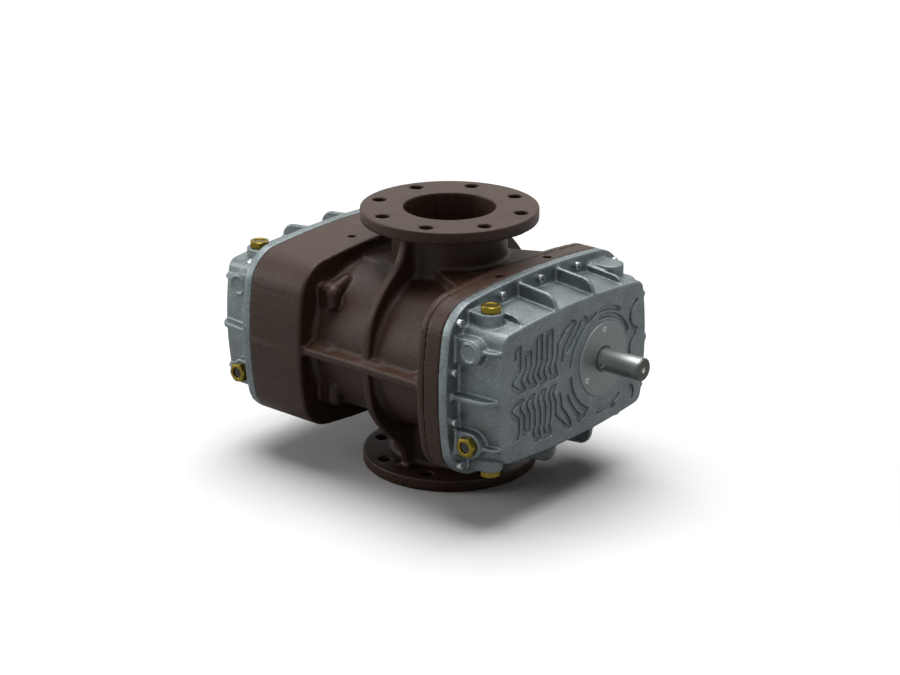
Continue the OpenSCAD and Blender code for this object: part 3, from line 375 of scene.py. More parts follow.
def cover_body(x, y, z, grow, depth, edge):
    inset = COVER_LAND + grow + COVER_DRAFT * np.clip(x, 0, COVER_DEPTH) / COVER_DEPTH
    wall = plate_field(y, z, inset)
    face = x - depth
    out = np.hypot(np.maximum(wall + edge, 0.0), np.maximum(face + edge, 0.0))
    return np.minimum(np.maximum(wall, face) + edge, 0.0) + out - edge


def cover_field(x, y, z, with_shaft):
    ay, az = np.abs(y), np.abs(z)
    rim = blend_max(plate_field(y, z), slab(x, -6, RIM_T), 1.6)
    body = cover_body(x, y, z, 0.0, COVER_DEPTH, 3.6)
    crest = np.where(z > 0, 144.0, 150.0)
    ribs = ((az, ay, 48.0, 4.0, crest, 5.0, 48.0, 25.0, 25.0, 100.0),
            (az, ay, TOP_BOSS_Y - BOSS_R - 4.0, 3.0, 128.0, 5.0, 48.0, 25.0, 25.0, 100.0),
            (ay, az, 0.0, 4.5, 213.0, 4.0, 52.0, 24.0, 22.0, 160.0),
            (ay, az, SIDE_BOSS_Z + 3.0, 3.0, 201.0, 4.0, 52.0, 12.0, 22.0, 160.0))
    for out, across, place, half_w, crest, slope, run, drop, turn, start in ribs:
        bend = np.clip((x - (COVER_DEPTH - turn - 2.0)) / turn, 0, 1)
        line = crest - slope * np.clip((x - RIM_T) / run, 0, 1) - drop * (1.0 - np.sqrt(1.0 - bend * bend))
        rib = blend_max((out - line) * 0.85, np.abs(across - place) - half_w, 3.0)
        rib = np.maximum(np.maximum(rib, slab(x, RIM_T - 4, COVER_DEPTH - 1.5)), start - out)
        body = blend_min(body, rib, 3.5)
    bosses = ((ay - TOP_BOSS_Y, az, 100.0, TOP_BOSS_Z), (az - SIDE_BOSS_Z, ay, 160.0, SIDE_BOSS_Y))
    for across, out, start, end in bosses:
        below = np.where(x < BOSS_OUT, np.abs(across), FAR)
        boss = np.minimum(np.hypot(x - BOSS_OUT, across), below) - BOSS_R
        boss = blend_max(np.maximum(boss, start - out), out - end, 1.6)
        body = blend_min(body, np.maximum(boss, RIM_T - 4 - x), 4.0)
    ring = np.hypot(np.hypot(x - BOSS_OUT, az - SIDE_BOSS_Z) - 15.0, (ay - SIDE_BOSS_Y) * 0.8) - 2.2
    ring = np.where((y < 0) & (z < 0), FAR, ring)
    body = blend_min(body, ring, 1.5)
    out = blend_min(rim, body, 5.0)
    seal_r = np.hypot(y - AXIS_Y, z)
    hub_face = blend_max(seal_r - HUB_R, x - COVER_DEPTH, 2.5)
    out = blend_min(out, np.maximum(hub_face, COVER_DEPTH - HUB_DEPTH - x), 1.0)
    out = np.maximum(out, -x)
    yy, zz = np.meshgrid(y[0, :, 0], z[0, 0, :], indexing="ij")
    groove = np.full(yy.shape, FAR, np.float32)
    for points in face_groove_lines():
        groove = np.minimum(groove, polyline_field(yy, zz, points) - GROOVE_HALF_W)
    groove = blend_max(groove[None], COVER_DEPTH - GROOVE_DEPTH - x, 1.5)
    out = blend_max(out, -groove, 1.0)
    for py, pz in rim_places():
        screw_r = np.hypot(y - py, z - pz)
        out = blend_max(out, -np.maximum(screw_r - SCREW_SCOOP_R, RIM_T - x), 0.8)
        out = np.maximum(out, -(screw_r - SCREW_HOLE_R))
    hollow = cover_body(x, y, z, COVER_WALL, COVER_DEPTH - COVER_WALL, 9.0)
    hub = np.maximum(seal_r - HUB_R, COVER_DEPTH - HUB_DEPTH - x)
    out = np.maximum(out, -np.maximum(hollow, -hub))
    for low_z in (False, True):
        port = np.hypot(x - BOSS_OUT, y + TOP_BOSS_Y) - PLUG_HOLE_R
        out = np.maximum(out, -np.maximum(port, 100.0 + z if low_z else 100.0 - z))
    sight = np.hypot(x - BOSS_OUT, z + SIDE_BOSS_Z) - PLUG_HOLE_R
    out = np.maximum(out, -np.maximum(sight, 175.0 + y))
    if with_shaft:
        out = np.maximum(out, SEAL_BORE_R - seal_r)
        for cy, cz in seal_screw_places():
            out = np.maximum(out, -np.maximum(np.hypot(y - cy, z - cz) - 3.1, COVER_DEPTH - 20 - x))
    return out


def field_object(name, field, low, high, step, place=None):
    """Mesh a distance field over a box; place turns its millimetre points into the machine's."""
    x, y, z, origin = grid_axes(low, high, step)
    verts, quads = surface_net(field(x, y, z).astype(np.float32), origin, step)
    if place:
        verts, flipped = place(verts)
        quads = quads[:, ::-1] if flipped else quads
    verts[:, 2] += MID_Z
    return mesh_object(name, verts, quads)


# Turned and hexagonal pieces
def turned_object(name, profile, centre, axis, sides=96, across_flats=0.0, hex_turn=0.0, hollow=False):
    """Mesh turned from a profile of (radius, height) points, cut to a hexagon where one is given."""
    turn = Vector((0, 0, 1)).rotation_difference(Vector(axis)).to_matrix()
    verts, faces = [], []
    for radius, height in profile:
        for i in range(sides):
            a = 2 * math.pi * i / sides
            off = (a - math.radians(hex_turn)) % (math.pi / 3) - math.pi / 6
            limit = min(radius, across_flats / 2 / math.cos(off)) if across_flats else radius
            point = turn @ Vector((limit * math.cos(a), limit * math.sin(a), height))
            verts.append((point + Vector(centre)) * MM)
    rings = len(profile)
    for ring in range(rings if hollow else rings - 1):
        after = (ring + 1) % rings
        for i in range(sides):
            j = (i + 1) % sides
            faces.append((ring * sides + i, ring * sides + j, after * sides + j, after * sides + i))
    if not hollow:
        faces.append(tuple(reversed(range(sides))))
        faces.append(tuple((rings - 1) * sides + i for i in range(sides)))
    mesh = bpy.data.meshes.new(name)
    mesh.from_pydata(verts, [], faces)
    mesh.update()
    obj = linked_object(name, mesh)
    smooth_by_angle(obj, 35.0)
    return obj


def smooth_by_angle(obj, degrees):
    obj.data.shade_smooth()
    obj.data.set_sharp_from_angle(angle=math.radians(degrees))


def join_objects(name, objects):
    """One plain mesh object from several, each already at the origin."""
    first = objects[0]
    with bpy.context.temp_override(active_object=first, object=first, selected_objects=objects,
                                   selected_editable_objects=objects):
        bpy.ops.object.join()
    first.name = name
    first.data.name = name
    return first


# Materials
def linear(code):
    """Linear colour from an sRGB hex code."""
    out = []
    for i in (0, 2, 4):
        c = int(code[i:i + 2], 16) / 255.0
        out.append(c / 12.92 if c <= 0.04045 else ((c + 0.055) / 1.055) ** 2.4)
    return (*out, 1.0)


def put(tree, kind, inputs=(), **settings):
    """Add a node with its settings, and fill its inputs with values or links."""
    made = tree.nodes.new(kind)
    for key, value in settings.items():
        setattr(made, key, value)
    for key, value in dict(inputs).items():
        if isinstance(value, bpy.types.NodeSocket):
            tree.links.new(value, made.inputs[key])
        else:
            made.inputs[key].default_value = value
    return made


def new_material(name):
    material = bpy.data.materials.new(name)
    material.use_nodes = True
    material.node_tree.nodes.clear()
    return material, material.node_tree


def coordinates(tree):
    return put(tree, "ShaderNodeTexCoord").outputs


def mixed_colour(tree, factor, first, second):
    """Blend from a first colour to a second one that is a hex code."""
    first = linear(first) if isinstance(first, str) else first
    mix = put(tree, "ShaderNodeMix", {"Factor": factor, 6: first, 7: linear(second)}, data_type="RGBA")
    return mix.outputs[2]


def noise(tree, place, size_mm, detail, **more):
    """Noise whose cells are about this many millimetres."""
    inputs = {"Vector": place, "Scale": 1.0 / (size_mm * MM), "Detail": detail, **more}
    return put(tree, "ShaderNodeTexNoise", inputs).outputs["Fac"]


def remapped(tree, value, low, high, to_low=0.0, to_high=1.0):
    inputs = {"Value": value, "From Min": low, "From Max": high, "To Min": to_low, "To Max": to_high}
    return put(tree, "ShaderNodeMapRange", inputs).outputs[0]


def bumped(tree, height, strength, depth_mm, **more):
    inputs = {"Height": height, "Strength": strength, "Distance": depth_mm * MM, **more}
    return put(tree, "ShaderNodeBump", inputs).outputs["Normal"]


def surface(tree, material, values):
    shader = put(tree, "ShaderNodeBsdfPrincipled", values)
    put(tree, "ShaderNodeOutputMaterial", {"Surface": shader.outputs["BSDF"]})
    return material


def cast_surface(name, colour, deep, fleck, metallic, roughness, grain, bump, fleck_share):
    """Sand cast skin: broad mottling, grains that catch light, and a pebbled bump."""
    material, tree = new_material(name)
    place = coordinates(tree)["Object"]
    broad = noise(tree, place, 38, 3.0)
    grains = noise(tree, place, grain, 2.0, Roughness=0.6)
    pebbles = put(tree, "ShaderNodeTexVoronoi", {"Vector": place, "Scale": 1.0 / (grain * 1.4 * MM)})
    tone = mixed_colour(tree, remapped(tree, broad, 0.35, 0.65), colour, deep)
    skin = mixed_colour(tree, remapped(tree, grains, 0.52, 0.74, 0.0, fleck_share), tone, fleck)
    coarse = bumped(tree, pebbles.outputs["Distance"], bump * 0.6, 0.35)
    return surface(tree, material, {
        "Base Color": skin, "Metallic": metallic,
        "Roughness": remapped(tree, grains, 0.3, 0.7, roughness - 0.06, roughness + 0.08),
        "Normal": bumped(tree, grains, bump, 0.5, Normal=coarse),
        "Specular IOR Level": 0.5 if metallic else 0.28})


def cut_metal(name, colour, deep, roughness, across, lay_mm, bump, painted_end_shade=None):
    """Turned or ground metal with slight staining; faces that point along +x may take a darker colour,
    painted shade on the ends that face away from the lamps.
    """
    material, tree = new_material(name)
    given = coordinates(tree)
    place = given["Object"]
    stretch = put(tree, "ShaderNodeMapping", {"Vector": place, "Scale": across})
    marks = noise(tree, stretch.outputs[0], lay_mm, 3.0)
    tone = mixed_colour(tree, noise(tree, place, 9, 4.0), colour, deep)
    # Painted shade: faces that point along +x, the shaft ends, take a darker colour
    if painted_end_shade:
        facing = put(tree, "ShaderNodeSeparateXYZ", {0: given["Normal"]})
        tone = mixed_colour(tree, remapped(tree, facing.outputs["X"], 0.9, 0.95), tone, painted_end_shade)
    return surface(tree, material, {
        "Base Color": tone, "Metallic": 1.0,
        "Roughness": remapped(tree, marks, 0.3, 0.7, roughness - 0.05, roughness + 0.09),
        "Normal": bumped(tree, marks, bump, 0.1)})


def moulded_rubber(name):
    material, tree = new_material(name)
    bloom = noise(tree, coordinates(tree)["Object"], 4, 3.0)
    return surface(tree, material, {"Base Color": mixed_colour(tree, bloom, "17181a", "2b2b2c"),
                                    "Roughness": 0.6, "Normal": bumped(tree, bloom, 0.3, 0.2)})


def pressed_glass(name):
    material, tree = new_material(name)
    film = noise(tree, coordinates(tree)["Object"], 6, 3.0)
    return surface(tree, material, {"Base Color": linear("8f7c58"), "IOR": 1.47, "Transmission Weight": 1.0,
                                    "Roughness": remapped(tree, film, 0.4, 0.7, 0.03, 0.14)})


# How each finish is made: the maker, then its colour as a name from the panel or a hex code, then the rest
FINISHES = {
    # Alkyd primer sprayed on sand cast iron: matt, with the casting's pebbles under it
    "primer_brown_on_cast_iron": (cast_surface, "paint", "322015", "684c3b", 0.0, 0.44, 2.1, 0.9, 0.42),
    # Shot blasted sand cast aluminium: pale, with fine grains that glint; drawn coarser than it is
    "as_cast_aluminium": (cast_surface, "aluminium", "687072", "bcc7c9", 0.72, 0.42, 1.8, 0.8, 0.55),
    # Aluminium disc faced on a lathe: rings too fine to see, so they are drawn about 1 mm apart
    "turned_aluminium_cap": (cut_metal, "838989", "757b7b", 0.44, (1, 1, 1), 1.0, 0.1),
    # Cylindrically ground steel: bright, with marks round the shaft, and painted shade on its ends that face
    # +x
    "ground_shaft_steel": (cut_metal, "steel", "a4a8a8", 0.34, (4, 0.3, 0.3), 2.0, 0.02, "4f524b"),
    # Bright zinc on steel screws: pale blue white metal
    "zinc_plated_steel": (cut_metal, "zinc", "b9bec0", 0.26, (1, 1, 1), 1.6, 0.1),
    # Oiled black oxide on screws, nuts and plates that stay inside
    "blackened_steel": (cut_metal, "3b3c3e", "2a2a2b", 0.42, (1, 1, 1), 2.0, 0.1),
    # Lapped chrome steel of races and balls
    "hardened_bearing_steel": (cut_metal, "c9ccce", "b3b7b9", 0.16, (1, 1, 1), 2.0, 0.04),
    # Case hardened gears, ground on their flanks
    "hobbed_gear_steel": (cut_metal, "8f9294", "75787a", 0.34, (1, 4, 4), 1.5, 0.12),
    # Ductile iron rotors, planed along their length
    "milled_rotor_iron": (cut_metal, "iron", "4c4b49", 0.42, (0.2, 3, 3), 2.0, 0.2),
    # Free cutting brass, turned and a little tarnished
    "turned_brass": (cut_metal, "brass", "685a22", 0.3, (1, 1, 1), 2.2, 0.08),
    # Moulded black rubber of the seals
    "nitrile_rubber": (moulded_rubber,),
    # Pressed glass of the oil sights, with the oil's amber behind it
    "sight_glass": (pressed_glass,),
}


def finish(key):
    """The named finish, made once."""
    made = bpy.data.materials.get(key)
    if made:
        return made
    maker, *values = FINISHES[key]
    if values and values[0] in BlowerColours.__annotations__:
        values[0] = (*getattr(bpy.context.scene.blower_colours, values[0]), 1.0)
    return maker(key, *values)


def fill_slots(obj, key):
    for place in obj.material_slots:
        place.link = "OBJECT"
        place.material = finish(key)


def dress(obj, key):
    """Give a new object one finish."""
    obj.data.materials.clear()
    obj.data.materials.append(finish(key))
    fill_slots(obj, key)


def dress_nodes(key, *names):
    for name in names:
        fill_slots(NODES[name], key)


# Screws, as a tree of geometry nodes that puts one on each point of a mesh
def screw_tree():
    tree = bpy.data.node_groups.new("socket_screws", "GeometryNodeTree")
    face = tree.interface
    face.new_socket("Geometry", in_out="OUTPUT", socket_type="NodeSocketGeometry")
    face.new_socket("Geometry", in_out="INPUT", socket_type="NodeSocketGeometry")
    for label, default in (("Diameter", 0.008), ("Length", 0.034), ("Chamfer", 0.0007)):
        made = face.new_socket(label, in_out="INPUT", socket_type="NodeSocketFloat")
        made.default_value = default
        made.subtype = "DISTANCE"
    face.new_socket("Direction", in_out="INPUT", socket_type="NodeSocketVector")
    seed = face.new_socket("Seed", in_out="INPUT", socket_type="NodeSocketInt")
    seed.default_value = 4
    face.new_socket("Finish", in_out="INPUT", socket_type="NodeSocketMaterial")
    given = put(tree, "NodeGroupInput").outputs

    def scaled(socket, factor, plus=0.0):
        sum_node = put(tree, "ShaderNodeMath", {0: socket, 1: factor, 2: plus}, operation="MULTIPLY_ADD")
        return sum_node.outputs[0]

    def raised(geometry, height):
        shift = put(tree, "ShaderNodeCombineXYZ", {"Z": height}).outputs[0]
        return put(tree, "GeometryNodeTransform", {"Geometry": geometry, "Translation": shift}).outputs[0]

    head_h = put(tree, "ShaderNodeMath", {0: given["Diameter"], 1: given["Chamfer"]}, operation="SUBTRACT")
    head = put(tree, "GeometryNodeMeshCylinder", {"Vertices": 32, "Radius": scaled(given["Diameter"], 0.8),
                                                  "Depth": head_h.outputs[0]})
    risen = raised(head.outputs["Mesh"], scaled(head_h.outputs[0], 0.5))
    grown = put(tree, "GeometryNodeExtrudeMesh", {"Mesh": risen, "Selection": head.outputs["Top"],
                                                  "Offset Scale": given["Chamfer"]}, mode="FACES")
    narrow = put(tree, "GeometryNodeScaleElements", {"Geometry": grown.outputs["Mesh"],
                                                     "Selection": grown.outputs["Top"], "Scale": 0.88},
                 domain="FACE")
    key_hole = put(tree, "GeometryNodeMeshCylinder",
                   {"Vertices": 6, "Radius": scaled(given["Diameter"], 0.475),
                    "Depth": scaled(given["Diameter"], 1.2)})
    hole_at = raised(key_hole.outputs["Mesh"], scaled(given["Diameter"], 1.0))
    cut = put(tree, "GeometryNodeMeshBoolean", {"Mesh 1": narrow.outputs[0], "Mesh 2": hole_at},
              operation="DIFFERENCE", solver="EXACT")
    shank = put(tree, "GeometryNodeMeshCylinder", {"Vertices": 24, "Radius": scaled(given["Diameter"], 0.5),
                                                   "Depth": given["Length"]})
    shank_at = raised(shank.outputs["Mesh"], scaled(given["Length"], -0.5))
    screw = put(tree, "GeometryNodeJoinGeometry")
    tree.links.new(shank_at, screw.inputs[0])
    tree.links.new(cut.outputs[0], screw.inputs[0])
    aim = put(tree, "FunctionNodeAlignRotationToVector", {"Vector": given["Direction"]}, axis="Z")
    points = put(tree, "GeometryNodeInstanceOnPoints", {"Points": given["Geometry"],
                                                        "Instance": screw.outputs[0],
                                                        "Rotation": aim.outputs[0]})
    chance = put(tree, "FunctionNodeRandomValue", {"Seed": given["Seed"]}, data_type="FLOAT")
    for socket in chance.inputs:
        if socket.name == "Max" and socket.type == "VALUE":
            socket.default_value = 6.28
    spin = put(tree, "ShaderNodeCombineXYZ")
    tree.links.new([s for s in chance.outputs if s.type == "VALUE"][0], spin.inputs["Z"])
    spun = put(tree, "GeometryNodeRotateInstances",
               {"Instances": points.outputs[0], "Rotation": spin.outputs[0], "Local Space": True})
    solid = put(tree, "GeometryNodeRealizeInstances", {"Geometry": spun.outputs[0]})
    round_faces = put(tree, "GeometryNodeSetShadeSmooth", {"Geometry": solid.outputs[0]})
    angle = put(tree, "GeometryNodeInputMeshEdgeAngle")
    sharp = put(tree, "ShaderNodeMath", {0: angle.outputs["Unsigned Angle"], 1: math.radians(32)},
                operation="GREATER_THAN")
    creased = put(tree, "GeometryNodeSetShadeSmooth", {"Geometry": round_faces.outputs[0],
                                                       "Selection": sharp.outputs[0], "Shade Smooth": False},
                  domain="EDGE")
    painted = put(tree, "GeometryNodeSetMaterial", {"Geometry": creased.outputs[0],
                                                    "Material": given["Finish"]})
    put(tree, "NodeGroupOutput", {0: painted.outputs[0]})
    return tree


def screw_set(name, places, direction, diameter, length, key):
    """Screws on given points in metres, as one plain mesh."""
    tree = bpy.data.node_groups.get("socket_screws") or screw_tree()
    mesh = bpy.data.meshes.new(name)
    mesh.from_pydata(places, [], [])
    obj = linked_object(name, mesh)
    maker = obj.modifiers.new("screws", "NODES")
    maker.node_group = tree
    values = {"Diameter": diameter, "Length": length, "Direction": direction, "Finish": finish(key)}
    for item in tree.interface.items_tree:
        if item.in_out == "INPUT" and item.name in values:
            maker[item.identifier] = values[item.name]
    apply_modifiers(obj)
    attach(obj, "housing")
    return obj


# What a user may change
def colour_choice(name, code, description):
    return bpy.props.FloatVectorProperty(name=name, description=description, default=linear(code)[:3],
                                         size=3, subtype="COLOR", min=0, max=1)


def number_choice(name, default, description, **more):
    return bpy.props.FloatProperty(name=name, description=description, default=default, **more)


class BlowerColours(bpy.types.PropertyGroup):
    paint: colour_choice("Paint", "3b271a", "Primer on the body casting and side plate")
    aluminium: colour_choice("Aluminium", "778082", "Skin of the oil cover castings")
    steel: colour_choice("Shaft steel", "b0b3b1", "Ground steel of the shafts")
    zinc: colour_choice("Screw zinc", "d0d4d6", "Zinc plating of the cover screws")
    brass: colour_choice("Brass", "8d7c30", "Oil plugs and sight glass bodies")
    iron: colour_choice("Rotor iron", "6a6866", "Milled iron of the rotors")


class BlowerSizes(bpy.types.PropertyGroup):
    casting_step: number_choice("Casting grid", 0.0024, "Grid step for the body castings", unit="LENGTH")
    cover_step: number_choice("Cover grid", 0.0014, "Grid step for the oil covers", unit="LENGTH")
    cover_screw: number_choice("Cover screw", 0.008, "Thread diameter of the cover screws", unit="LENGTH")
    small_screw: number_choice("Small screw", 0.006, "Thread of the seal cover screws", unit="LENGTH")
    hex_size: number_choice("Brass hexagon", 0.030, "Width across flats of the oil plugs", unit="LENGTH")


class BlowerStage(bpy.types.PropertyGroup):
    key_strength: number_choice("Overhead light", 3.4, "Strength of the wide light from above")
    side_strength: number_choice("Side light", 1.1, "Strength of the light from the left and behind")
    fill: number_choice("Sky", 0.08, "Light from the plain white surroundings")
    mirrored: number_choice("Mirrored sky", 0.8, "Surroundings as metal mirrors them")
    lens: number_choice("Lens", 91.19, "Focal length on a 36 mm wide frame")


class BLOWER_OT_body_casting(bpy.types.Operator):
    """Body casting with its gear housing, twin barrel, necks and pipe flanges"""
    bl_idname = "blower.body_casting"
    bl_label = "Body casting"

    def execute(self, context):
        step = context.scene.blower_sizes.casting_step / MM
        solid = lambda x, y, z: np.maximum(casting_field(x, y, z), -casting_holes(x, y, z))
        low, high = (HOUSING_BACK_X, -HALF_W, -MID_Z), (FLANGE_R, HALF_W, MID_Z)
        obj = field_object("body_casting", solid, low, high, step)
        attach(obj, "housing")
        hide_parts("casing")
        dress(obj, "primer_brown_on_cast_iron")
        return {"FINISHED"}


class BLOWER_OT_side_plate(bpy.types.Operator):
    """Side plate that closes the rotor chamber and carries the front bearings"""
    bl_idname = "blower.side_plate"
    bl_label = "Side plate"

    def execute(self, context):
        step = context.scene.blower_sizes.casting_step / MM
        low, high = (BODY_FRONT_X, -HALF_W, -HALF_H), (JOINT_X + 24, HALF_W, HALF_H)
        obj = field_object("side_plate_casting", side_plate_field, low, high, step)
        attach(obj, "housing")
        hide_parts("side_plate")
        dress(obj, "primer_brown_on_cast_iron")
        return {"FINISHED"}


class BLOWER_OT_oil_covers(bpy.types.Operator):
    """Cast aluminium oil covers over the bearings in front and the timing gears behind"""
    bl_idname = "blower.oil_covers"
    bl_label = "Oil covers"

    def execute(self, context):
        step = context.scene.blower_sizes.cover_step / MM
        low, high = (0, -HALF_W, -HALF_H), (COVER_DEPTH + 4, HALF_W, HALF_H)

        def to_front(verts):
            return verts + [JOINT_X, 0, 0], False

        def to_rear(verts):
            return verts * [-1, 1, 1] + [HOUSING_BACK_X, 0, 0], True

        made = (("front_oil_cover", "drive_cover", True, to_front),
                ("rear_oil_cover", "gear_cover", False, to_rear))
        for name, node_name, with_shaft, place in made:
            field = lambda x, y, z: cover_field(x, y, z, with_shaft)
            obj = field_object(name, field, low, high, step, place)
            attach(obj, "housing")
            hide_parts(node_name)
            dress(obj, "as_cast_aluminium")
        return {"FINISHED"}


class BLOWER_OT_seal_cover(bpy.types.Operator):
    """Seal cover disc round the drive shaft, with its lip seal and three screws"""
    bl_idname = "blower.seal_cover"
    bl_label = "Seal cover"

    def execute(self, context):
        top = SEAL_COVER_OUT
        profile = [(21.6, -5), (61.8, -5), (61.8, top - 1.8), (61.5, top - 1.1), (60.9, top - 0.5),
                   (60.1, top - 0.1), (59.2, top), (22.0, top), (21.6, top - 0.3)]
        centre = (JOINT_X + COVER_DEPTH, AXIS_Y, MID_Z)
        disc = turned_object("seal_cover_disc", profile, centre, (1, 0, 0), 128, hollow=True)
        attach(disc, "housing")
        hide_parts("shaft_seal_cover")
        dress(disc, "turned_aluminium_cap")
        dress_nodes("nitrile_rubber", "shaft_lip_seal")
        d = context.scene.blower_sizes.small_screw
        face = (JOINT_X + COVER_DEPTH + SEAL_COVER_OUT + 0.3) * MM
        places = [(face - d, y * MM, (MID_Z + z) * MM) for y, z in seal_screw_places()]
        obj = screw_set("seal_cover_screw_set", places, (1, 0, 0), d, 0.015, "zinc_plated_steel")
        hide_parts("seal_cover_screws")
        return {"FINISHED"}


class BLOWER_OT_cover_screws(bpy.types.Operator):
    """Socket screws round both oil covers and in the side plate"""
    bl_idname = "blower.cover_screws"
    bl_label = "Cover screws"

    def execute(self, context):
        d = context.scene.blower_sizes.cover_screw
        rows = (("front_cover_screw_set", JOINT_X + RIM_T, (1, 0, 0), "drive_cover_screws"),
                ("rear_cover_screw_set", HOUSING_BACK_X - RIM_T, (-1, 0, 0), "gear_cover_screws"))
        for name, x, direction, node_name in rows:
            places = [(x * MM, y * MM, (z + MID_Z) * MM) for y, z in rim_places()]
            obj = screw_set(name, places, direction, d, 0.034, "zinc_plated_steel")
            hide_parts(node_name)
        dress_nodes("blackened_steel", "side_plate_screws", "retainer_screws")
        dress_nodes("ground_shaft_steel", "dowel_pins")
        return {"FINISHED"}


FITTINGS = {"fill": (-TOP_BOSS_Y, TOP_BOSS_Z, (0, 0, 1)), "drain": (-TOP_BOSS_Y, -TOP_BOSS_Z, (0, 0, -1)),
            "sight": (-SIDE_BOSS_Y, -SIDE_BOSS_Z, (0, -1, 0))}


def fitting_places(kind):
    """Points and directions where plugs or sight glasses screw into the two covers."""
    y, z, direction = FITTINGS[kind]
    return [((x, y, MID_Z + z), direction) for x in (JOINT_X + BOSS_OUT, HOUSING_BACK_X - BOSS_OUT)]


class BLOWER_OT_oil_plugs(bpy.types.Operator):
    """Brass filler and drain plugs with chamfered hexagon heads"""
    bl_idname = "blower.oil_plugs"
    bl_label = "Oil plugs"

    def execute(self, context):
        flats = context.scene.blower_sizes.hex_size / MM
        corner = flats / 2 / math.cos(math.pi / 6)
        profile = [(9.3, -14), (10.5, -13), (10.5, 0.0), (14.2, 0.0), (14.2, 0.8), (corner - 1.2, 0.8),
                   (corner - 0.3, 1.4), (corner, 2.2), (corner, 8.0), (corner - 0.5, 9.0),
                   (corner - 1.4, 9.9), (corner - 2.6, 10.6), (13.4, 10.9), (12.8, 11.0), (9.2, 11.0),
                   (8.6, 10.6), (8.4, 9.8)]
        for kind in ("fill", "drain"):
            made = [turned_object(kind + "_plug", profile, centre, axis, 96, flats, 14.0)
                    for centre, axis in fitting_places(kind)]
            obj = join_objects(kind + "_plug_set", made)
            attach(obj, "housing")
            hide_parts(kind + "_plugs")
            dress(obj, "turned_brass")
        return {"FINISHED"}


class BLOWER_OT_sight_glasses(bpy.types.Operator):
    """Oil sight glasses: a brass hexagon body with a domed glass"""
    bl_idname = "blower.sight_glasses"
    bl_label = "Sight glasses"

    def execute(self, context):
        flats = context.scene.blower_sizes.hex_size / MM
        corner = flats / 2 / math.cos(math.pi / 6)
        body = [(7.2, -14), (10.3, -14), (10.5, -13.6), (10.5, 0.0), (14.2, 0.0), (14.2, 0.8),
                (corner - 1.2, 0.8), (corner - 0.3, 1.4), (corner, 2.2), (corner, 8.4), (corner - 0.6, 9.3),
                (corner - 1.6, 10.1), (13.0, 10.6), (12.3, 11.0), (10.4, 11.0), (9.6, 10.6), (9.2, 9.8),
                (9.05, 8.6), (9.05, 5.0), (7.2, 5.0)]
        dome = [(9.0, 5.1), (9.0, 8.0), (8.4, 8.5), (7.0, 8.9), (5.0, 9.2), (2.5, 9.4), (0.4, 9.45)]
        bodies, domes = [], []
        for centre, axis in fitting_places("sight"):
            bodies.append(turned_object("sight_body", body, centre, axis, 96, flats, 8.0, hollow=True))
            domes.append(turned_object("sight_dome", dome, centre, axis, 48))
        obj = join_objects("sight_glass_body_set", bodies)
        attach(obj, "housing")
        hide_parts("sight_glass_bodies")
        dress(obj, "turned_brass")
        obj = join_objects("sight_glass_dome_set", domes)
        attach(obj, "housing")
        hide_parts("sight_glass_lenses")
        dress(obj, "sight_glass")
        return {"FINISHED"}


class BLOWER_OT_running_gear(bpy.types.Operator):
    """Finishes of the rotors, shafts, gears, bearings and seals that turn inside"""
    bl_idname = "blower.running_gear"
    bl_label = "Running gear"

    def execute(self, context):
        dress_nodes("milled_rotor_iron", "drive_rotor", "driven_rotor")
        dress_nodes("ground_shaft_steel", "drive_shaft", "driven_shaft")
        dress_nodes("hobbed_gear_steel", "drive_gear", "driven_gear")
        dress_nodes("blackened_steel", "drive_nuts", "driven_nuts", "oil_slinger", "front_retainers",
                    "rear_retainers")
        dress_nodes("hardened_bearing_steel", "front_outer_rings", "rear_outer_rings", "drive_inner_rings",
                    "driven_inner_rings", "balls_front_drive", "balls_front_driven", "balls_rear_drive",
                    "balls_rear_driven")
        dress_nodes("nitrile_rubber", "chamber_seals")
        return {"FINISHED"}


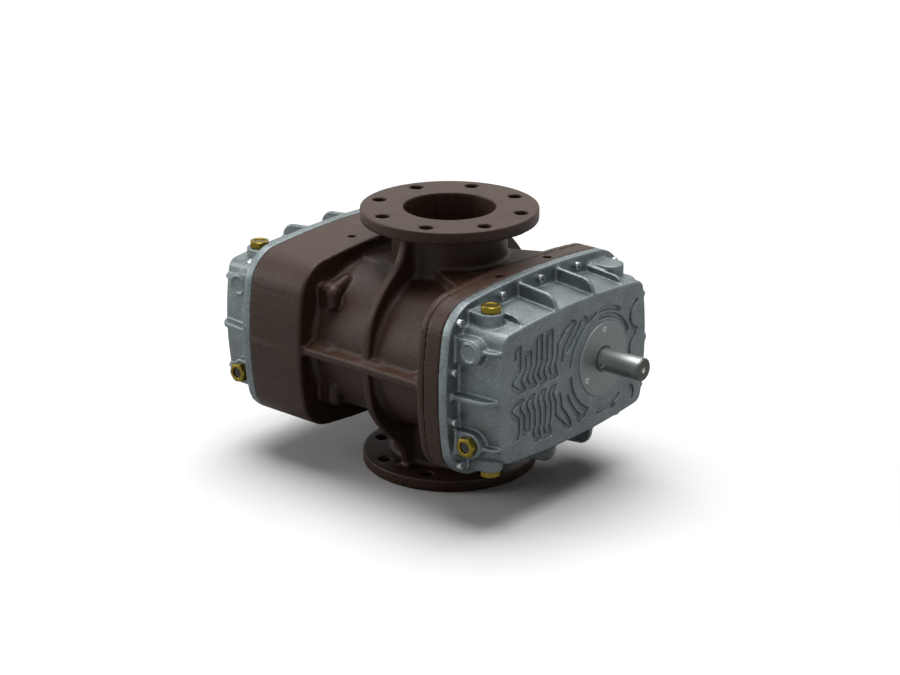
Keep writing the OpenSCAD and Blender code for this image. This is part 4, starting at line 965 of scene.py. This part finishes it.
class BLOWER_OT_studio(bpy.types.Operator):
    """Camera, floor and soft studio lamps"""
    bl_idname = "blower.studio"
    bl_label = "Studio"

    def execute(self, context):
        stage = context.scene.blower_stage
        self.camera(context, stage.lens)
        self.floor()
        self.lamps(stage)
        self.sky(context, stage)
        context.scene.view_settings.view_transform = "Standard"
        return {"FINISHED"}

    def camera(self, context, lens):
        data = bpy.data.cameras.new("camera")
        data.lens = lens
        data.sensor_width = 36.0
        data.clip_start = 0.05
        data.clip_end = 60.0
        obj = linked_object("camera", data)
        # Fitted to the photograph's flanges and plate outlines
        across = Vector((0.7628, 0.6466, 0.0)).normalized()
        back = Vector((0.6063, -0.7153, 0.3474)).normalized()
        up = back.cross(across).normalized()
        across = up.cross(back)
        turn = Matrix((across, up, back)).transposed().to_4x4()
        obj.matrix_world = Matrix.Translation((2.2769, -2.6853, 1.5180)) @ turn
        context.scene.camera = obj

    def floor(self):
        size, rings = 14.0, 64
        level = -0.0006
        turns = [2 * math.pi * i / rings for i in range(rings)]
        verts = [(0.0, 0.0, level)] + [(size * math.cos(a), size * math.sin(a), level) for a in turns]
        faces = [(0, 1 + i, 1 + (i + 1) % rings) for i in range(rings)]
        mesh = bpy.data.meshes.new("studio_floor")
        mesh.from_pydata(verts, [], faces)
        obj = linked_object("studio_floor", mesh)
        # Paper that is white for the camera, dimmer in reflections and dark as a lamp
        material, tree = new_material("white_paper_sweep")
        path = put(tree, "ShaderNodeLightPath").outputs
        mirrored = remapped(tree, path["Is Glossy Ray"], 0.0, 1.0, 0.08, 0.52)
        white = remapped(tree, path["Is Camera Ray"], 0.0, 1.0, mirrored, 0.9)
        paper = put(tree, "ShaderNodeBsdfDiffuse", {"Color": white})
        put(tree, "ShaderNodeOutputMaterial", {"Surface": paper.outputs[0]})
        obj.data.materials.append(material)

    def lamps(self, stage):
        lamps = (("overhead_light", stage.key_strength, 60, (-0.16, 0.18, 1.0)),
                 ("left_light", stage.side_strength, 30, (-0.85, -0.5, 0.32)))
        for name, strength, spread, direction in lamps:
            data = bpy.data.lights.new(name, "SUN")
            data.energy = strength
            data.angle = math.radians(spread)
            obj = linked_object(name, data)
            obj.rotation_euler = Vector(direction).to_track_quat("Z", "Y").to_euler()

    def sky(self, context, stage):
        """White room: full strength for the camera, paler in reflections and dim as a lamp."""
        world = bpy.data.worlds.new("studio_sky")
        world.use_nodes = True
        tree = world.node_tree
        tree.nodes.clear()
        path = put(tree, "ShaderNodeLightPath").outputs
        level = remapped(tree, path["Is Glossy Ray"], 0.0, 1.0, stage.fill, stage.mirrored)
        seen = remapped(tree, path["Is Camera Ray"], 0.0, 1.0, level, 1.0)
        light = put(tree, "ShaderNodeBackground", {"Color": (1, 1, 1, 1), "Strength": seen})
        put(tree, "ShaderNodeOutputWorld", {"Surface": light.outputs[0]})
        context.scene.world = world


class BLOWER_PT_panel(bpy.types.Panel):
    """Lists the blower's pieces and what may be changed"""
    bl_idname = "BLOWER_PT_panel"
    bl_label = "Rotary lobe blower"
    bl_space_type = "VIEW_3D"
    bl_region_type = "UI"
    bl_category = "Blower"

    def draw(self, context):
        layout = self.layout
        for group in (context.scene.blower_sizes, context.scene.blower_colours, context.scene.blower_stage):
            column = layout.column(align=True)
            for label in group.__annotations__:
                column.prop(group, label)
        column = layout.column(align=True)
        for operator in OPERATORS:
            column.operator(operator.bl_idname)


GROUPS = {"blower_colours": BlowerColours, "blower_sizes": BlowerSizes, "blower_stage": BlowerStage}
OPERATORS = (BLOWER_OT_studio, BLOWER_OT_body_casting, BLOWER_OT_side_plate, BLOWER_OT_oil_covers,
             BLOWER_OT_seal_cover, BLOWER_OT_cover_screws, BLOWER_OT_oil_plugs, BLOWER_OT_sight_glasses,
             BLOWER_OT_running_gear)


def register():
    for label, group in GROUPS.items():
        bpy.utils.register_class(group)
        setattr(bpy.types.Scene, label, bpy.props.PointerProperty(type=group))
    for one in (*OPERATORS, BLOWER_PT_panel):
        bpy.utils.register_class(one)


def unregister():
    for one in reversed((*OPERATORS, BLOWER_PT_panel)):
        bpy.utils.unregister_class(one)
    for label, group in GROUPS.items():
        delattr(bpy.types.Scene, label)
        bpy.utils.unregister_class(group)


def main():
    register()
    for operator in OPERATORS:
        getattr(bpy.ops.blower, operator.bl_idname.split(".")[1])()


if __name__ == "__main__":
    main()
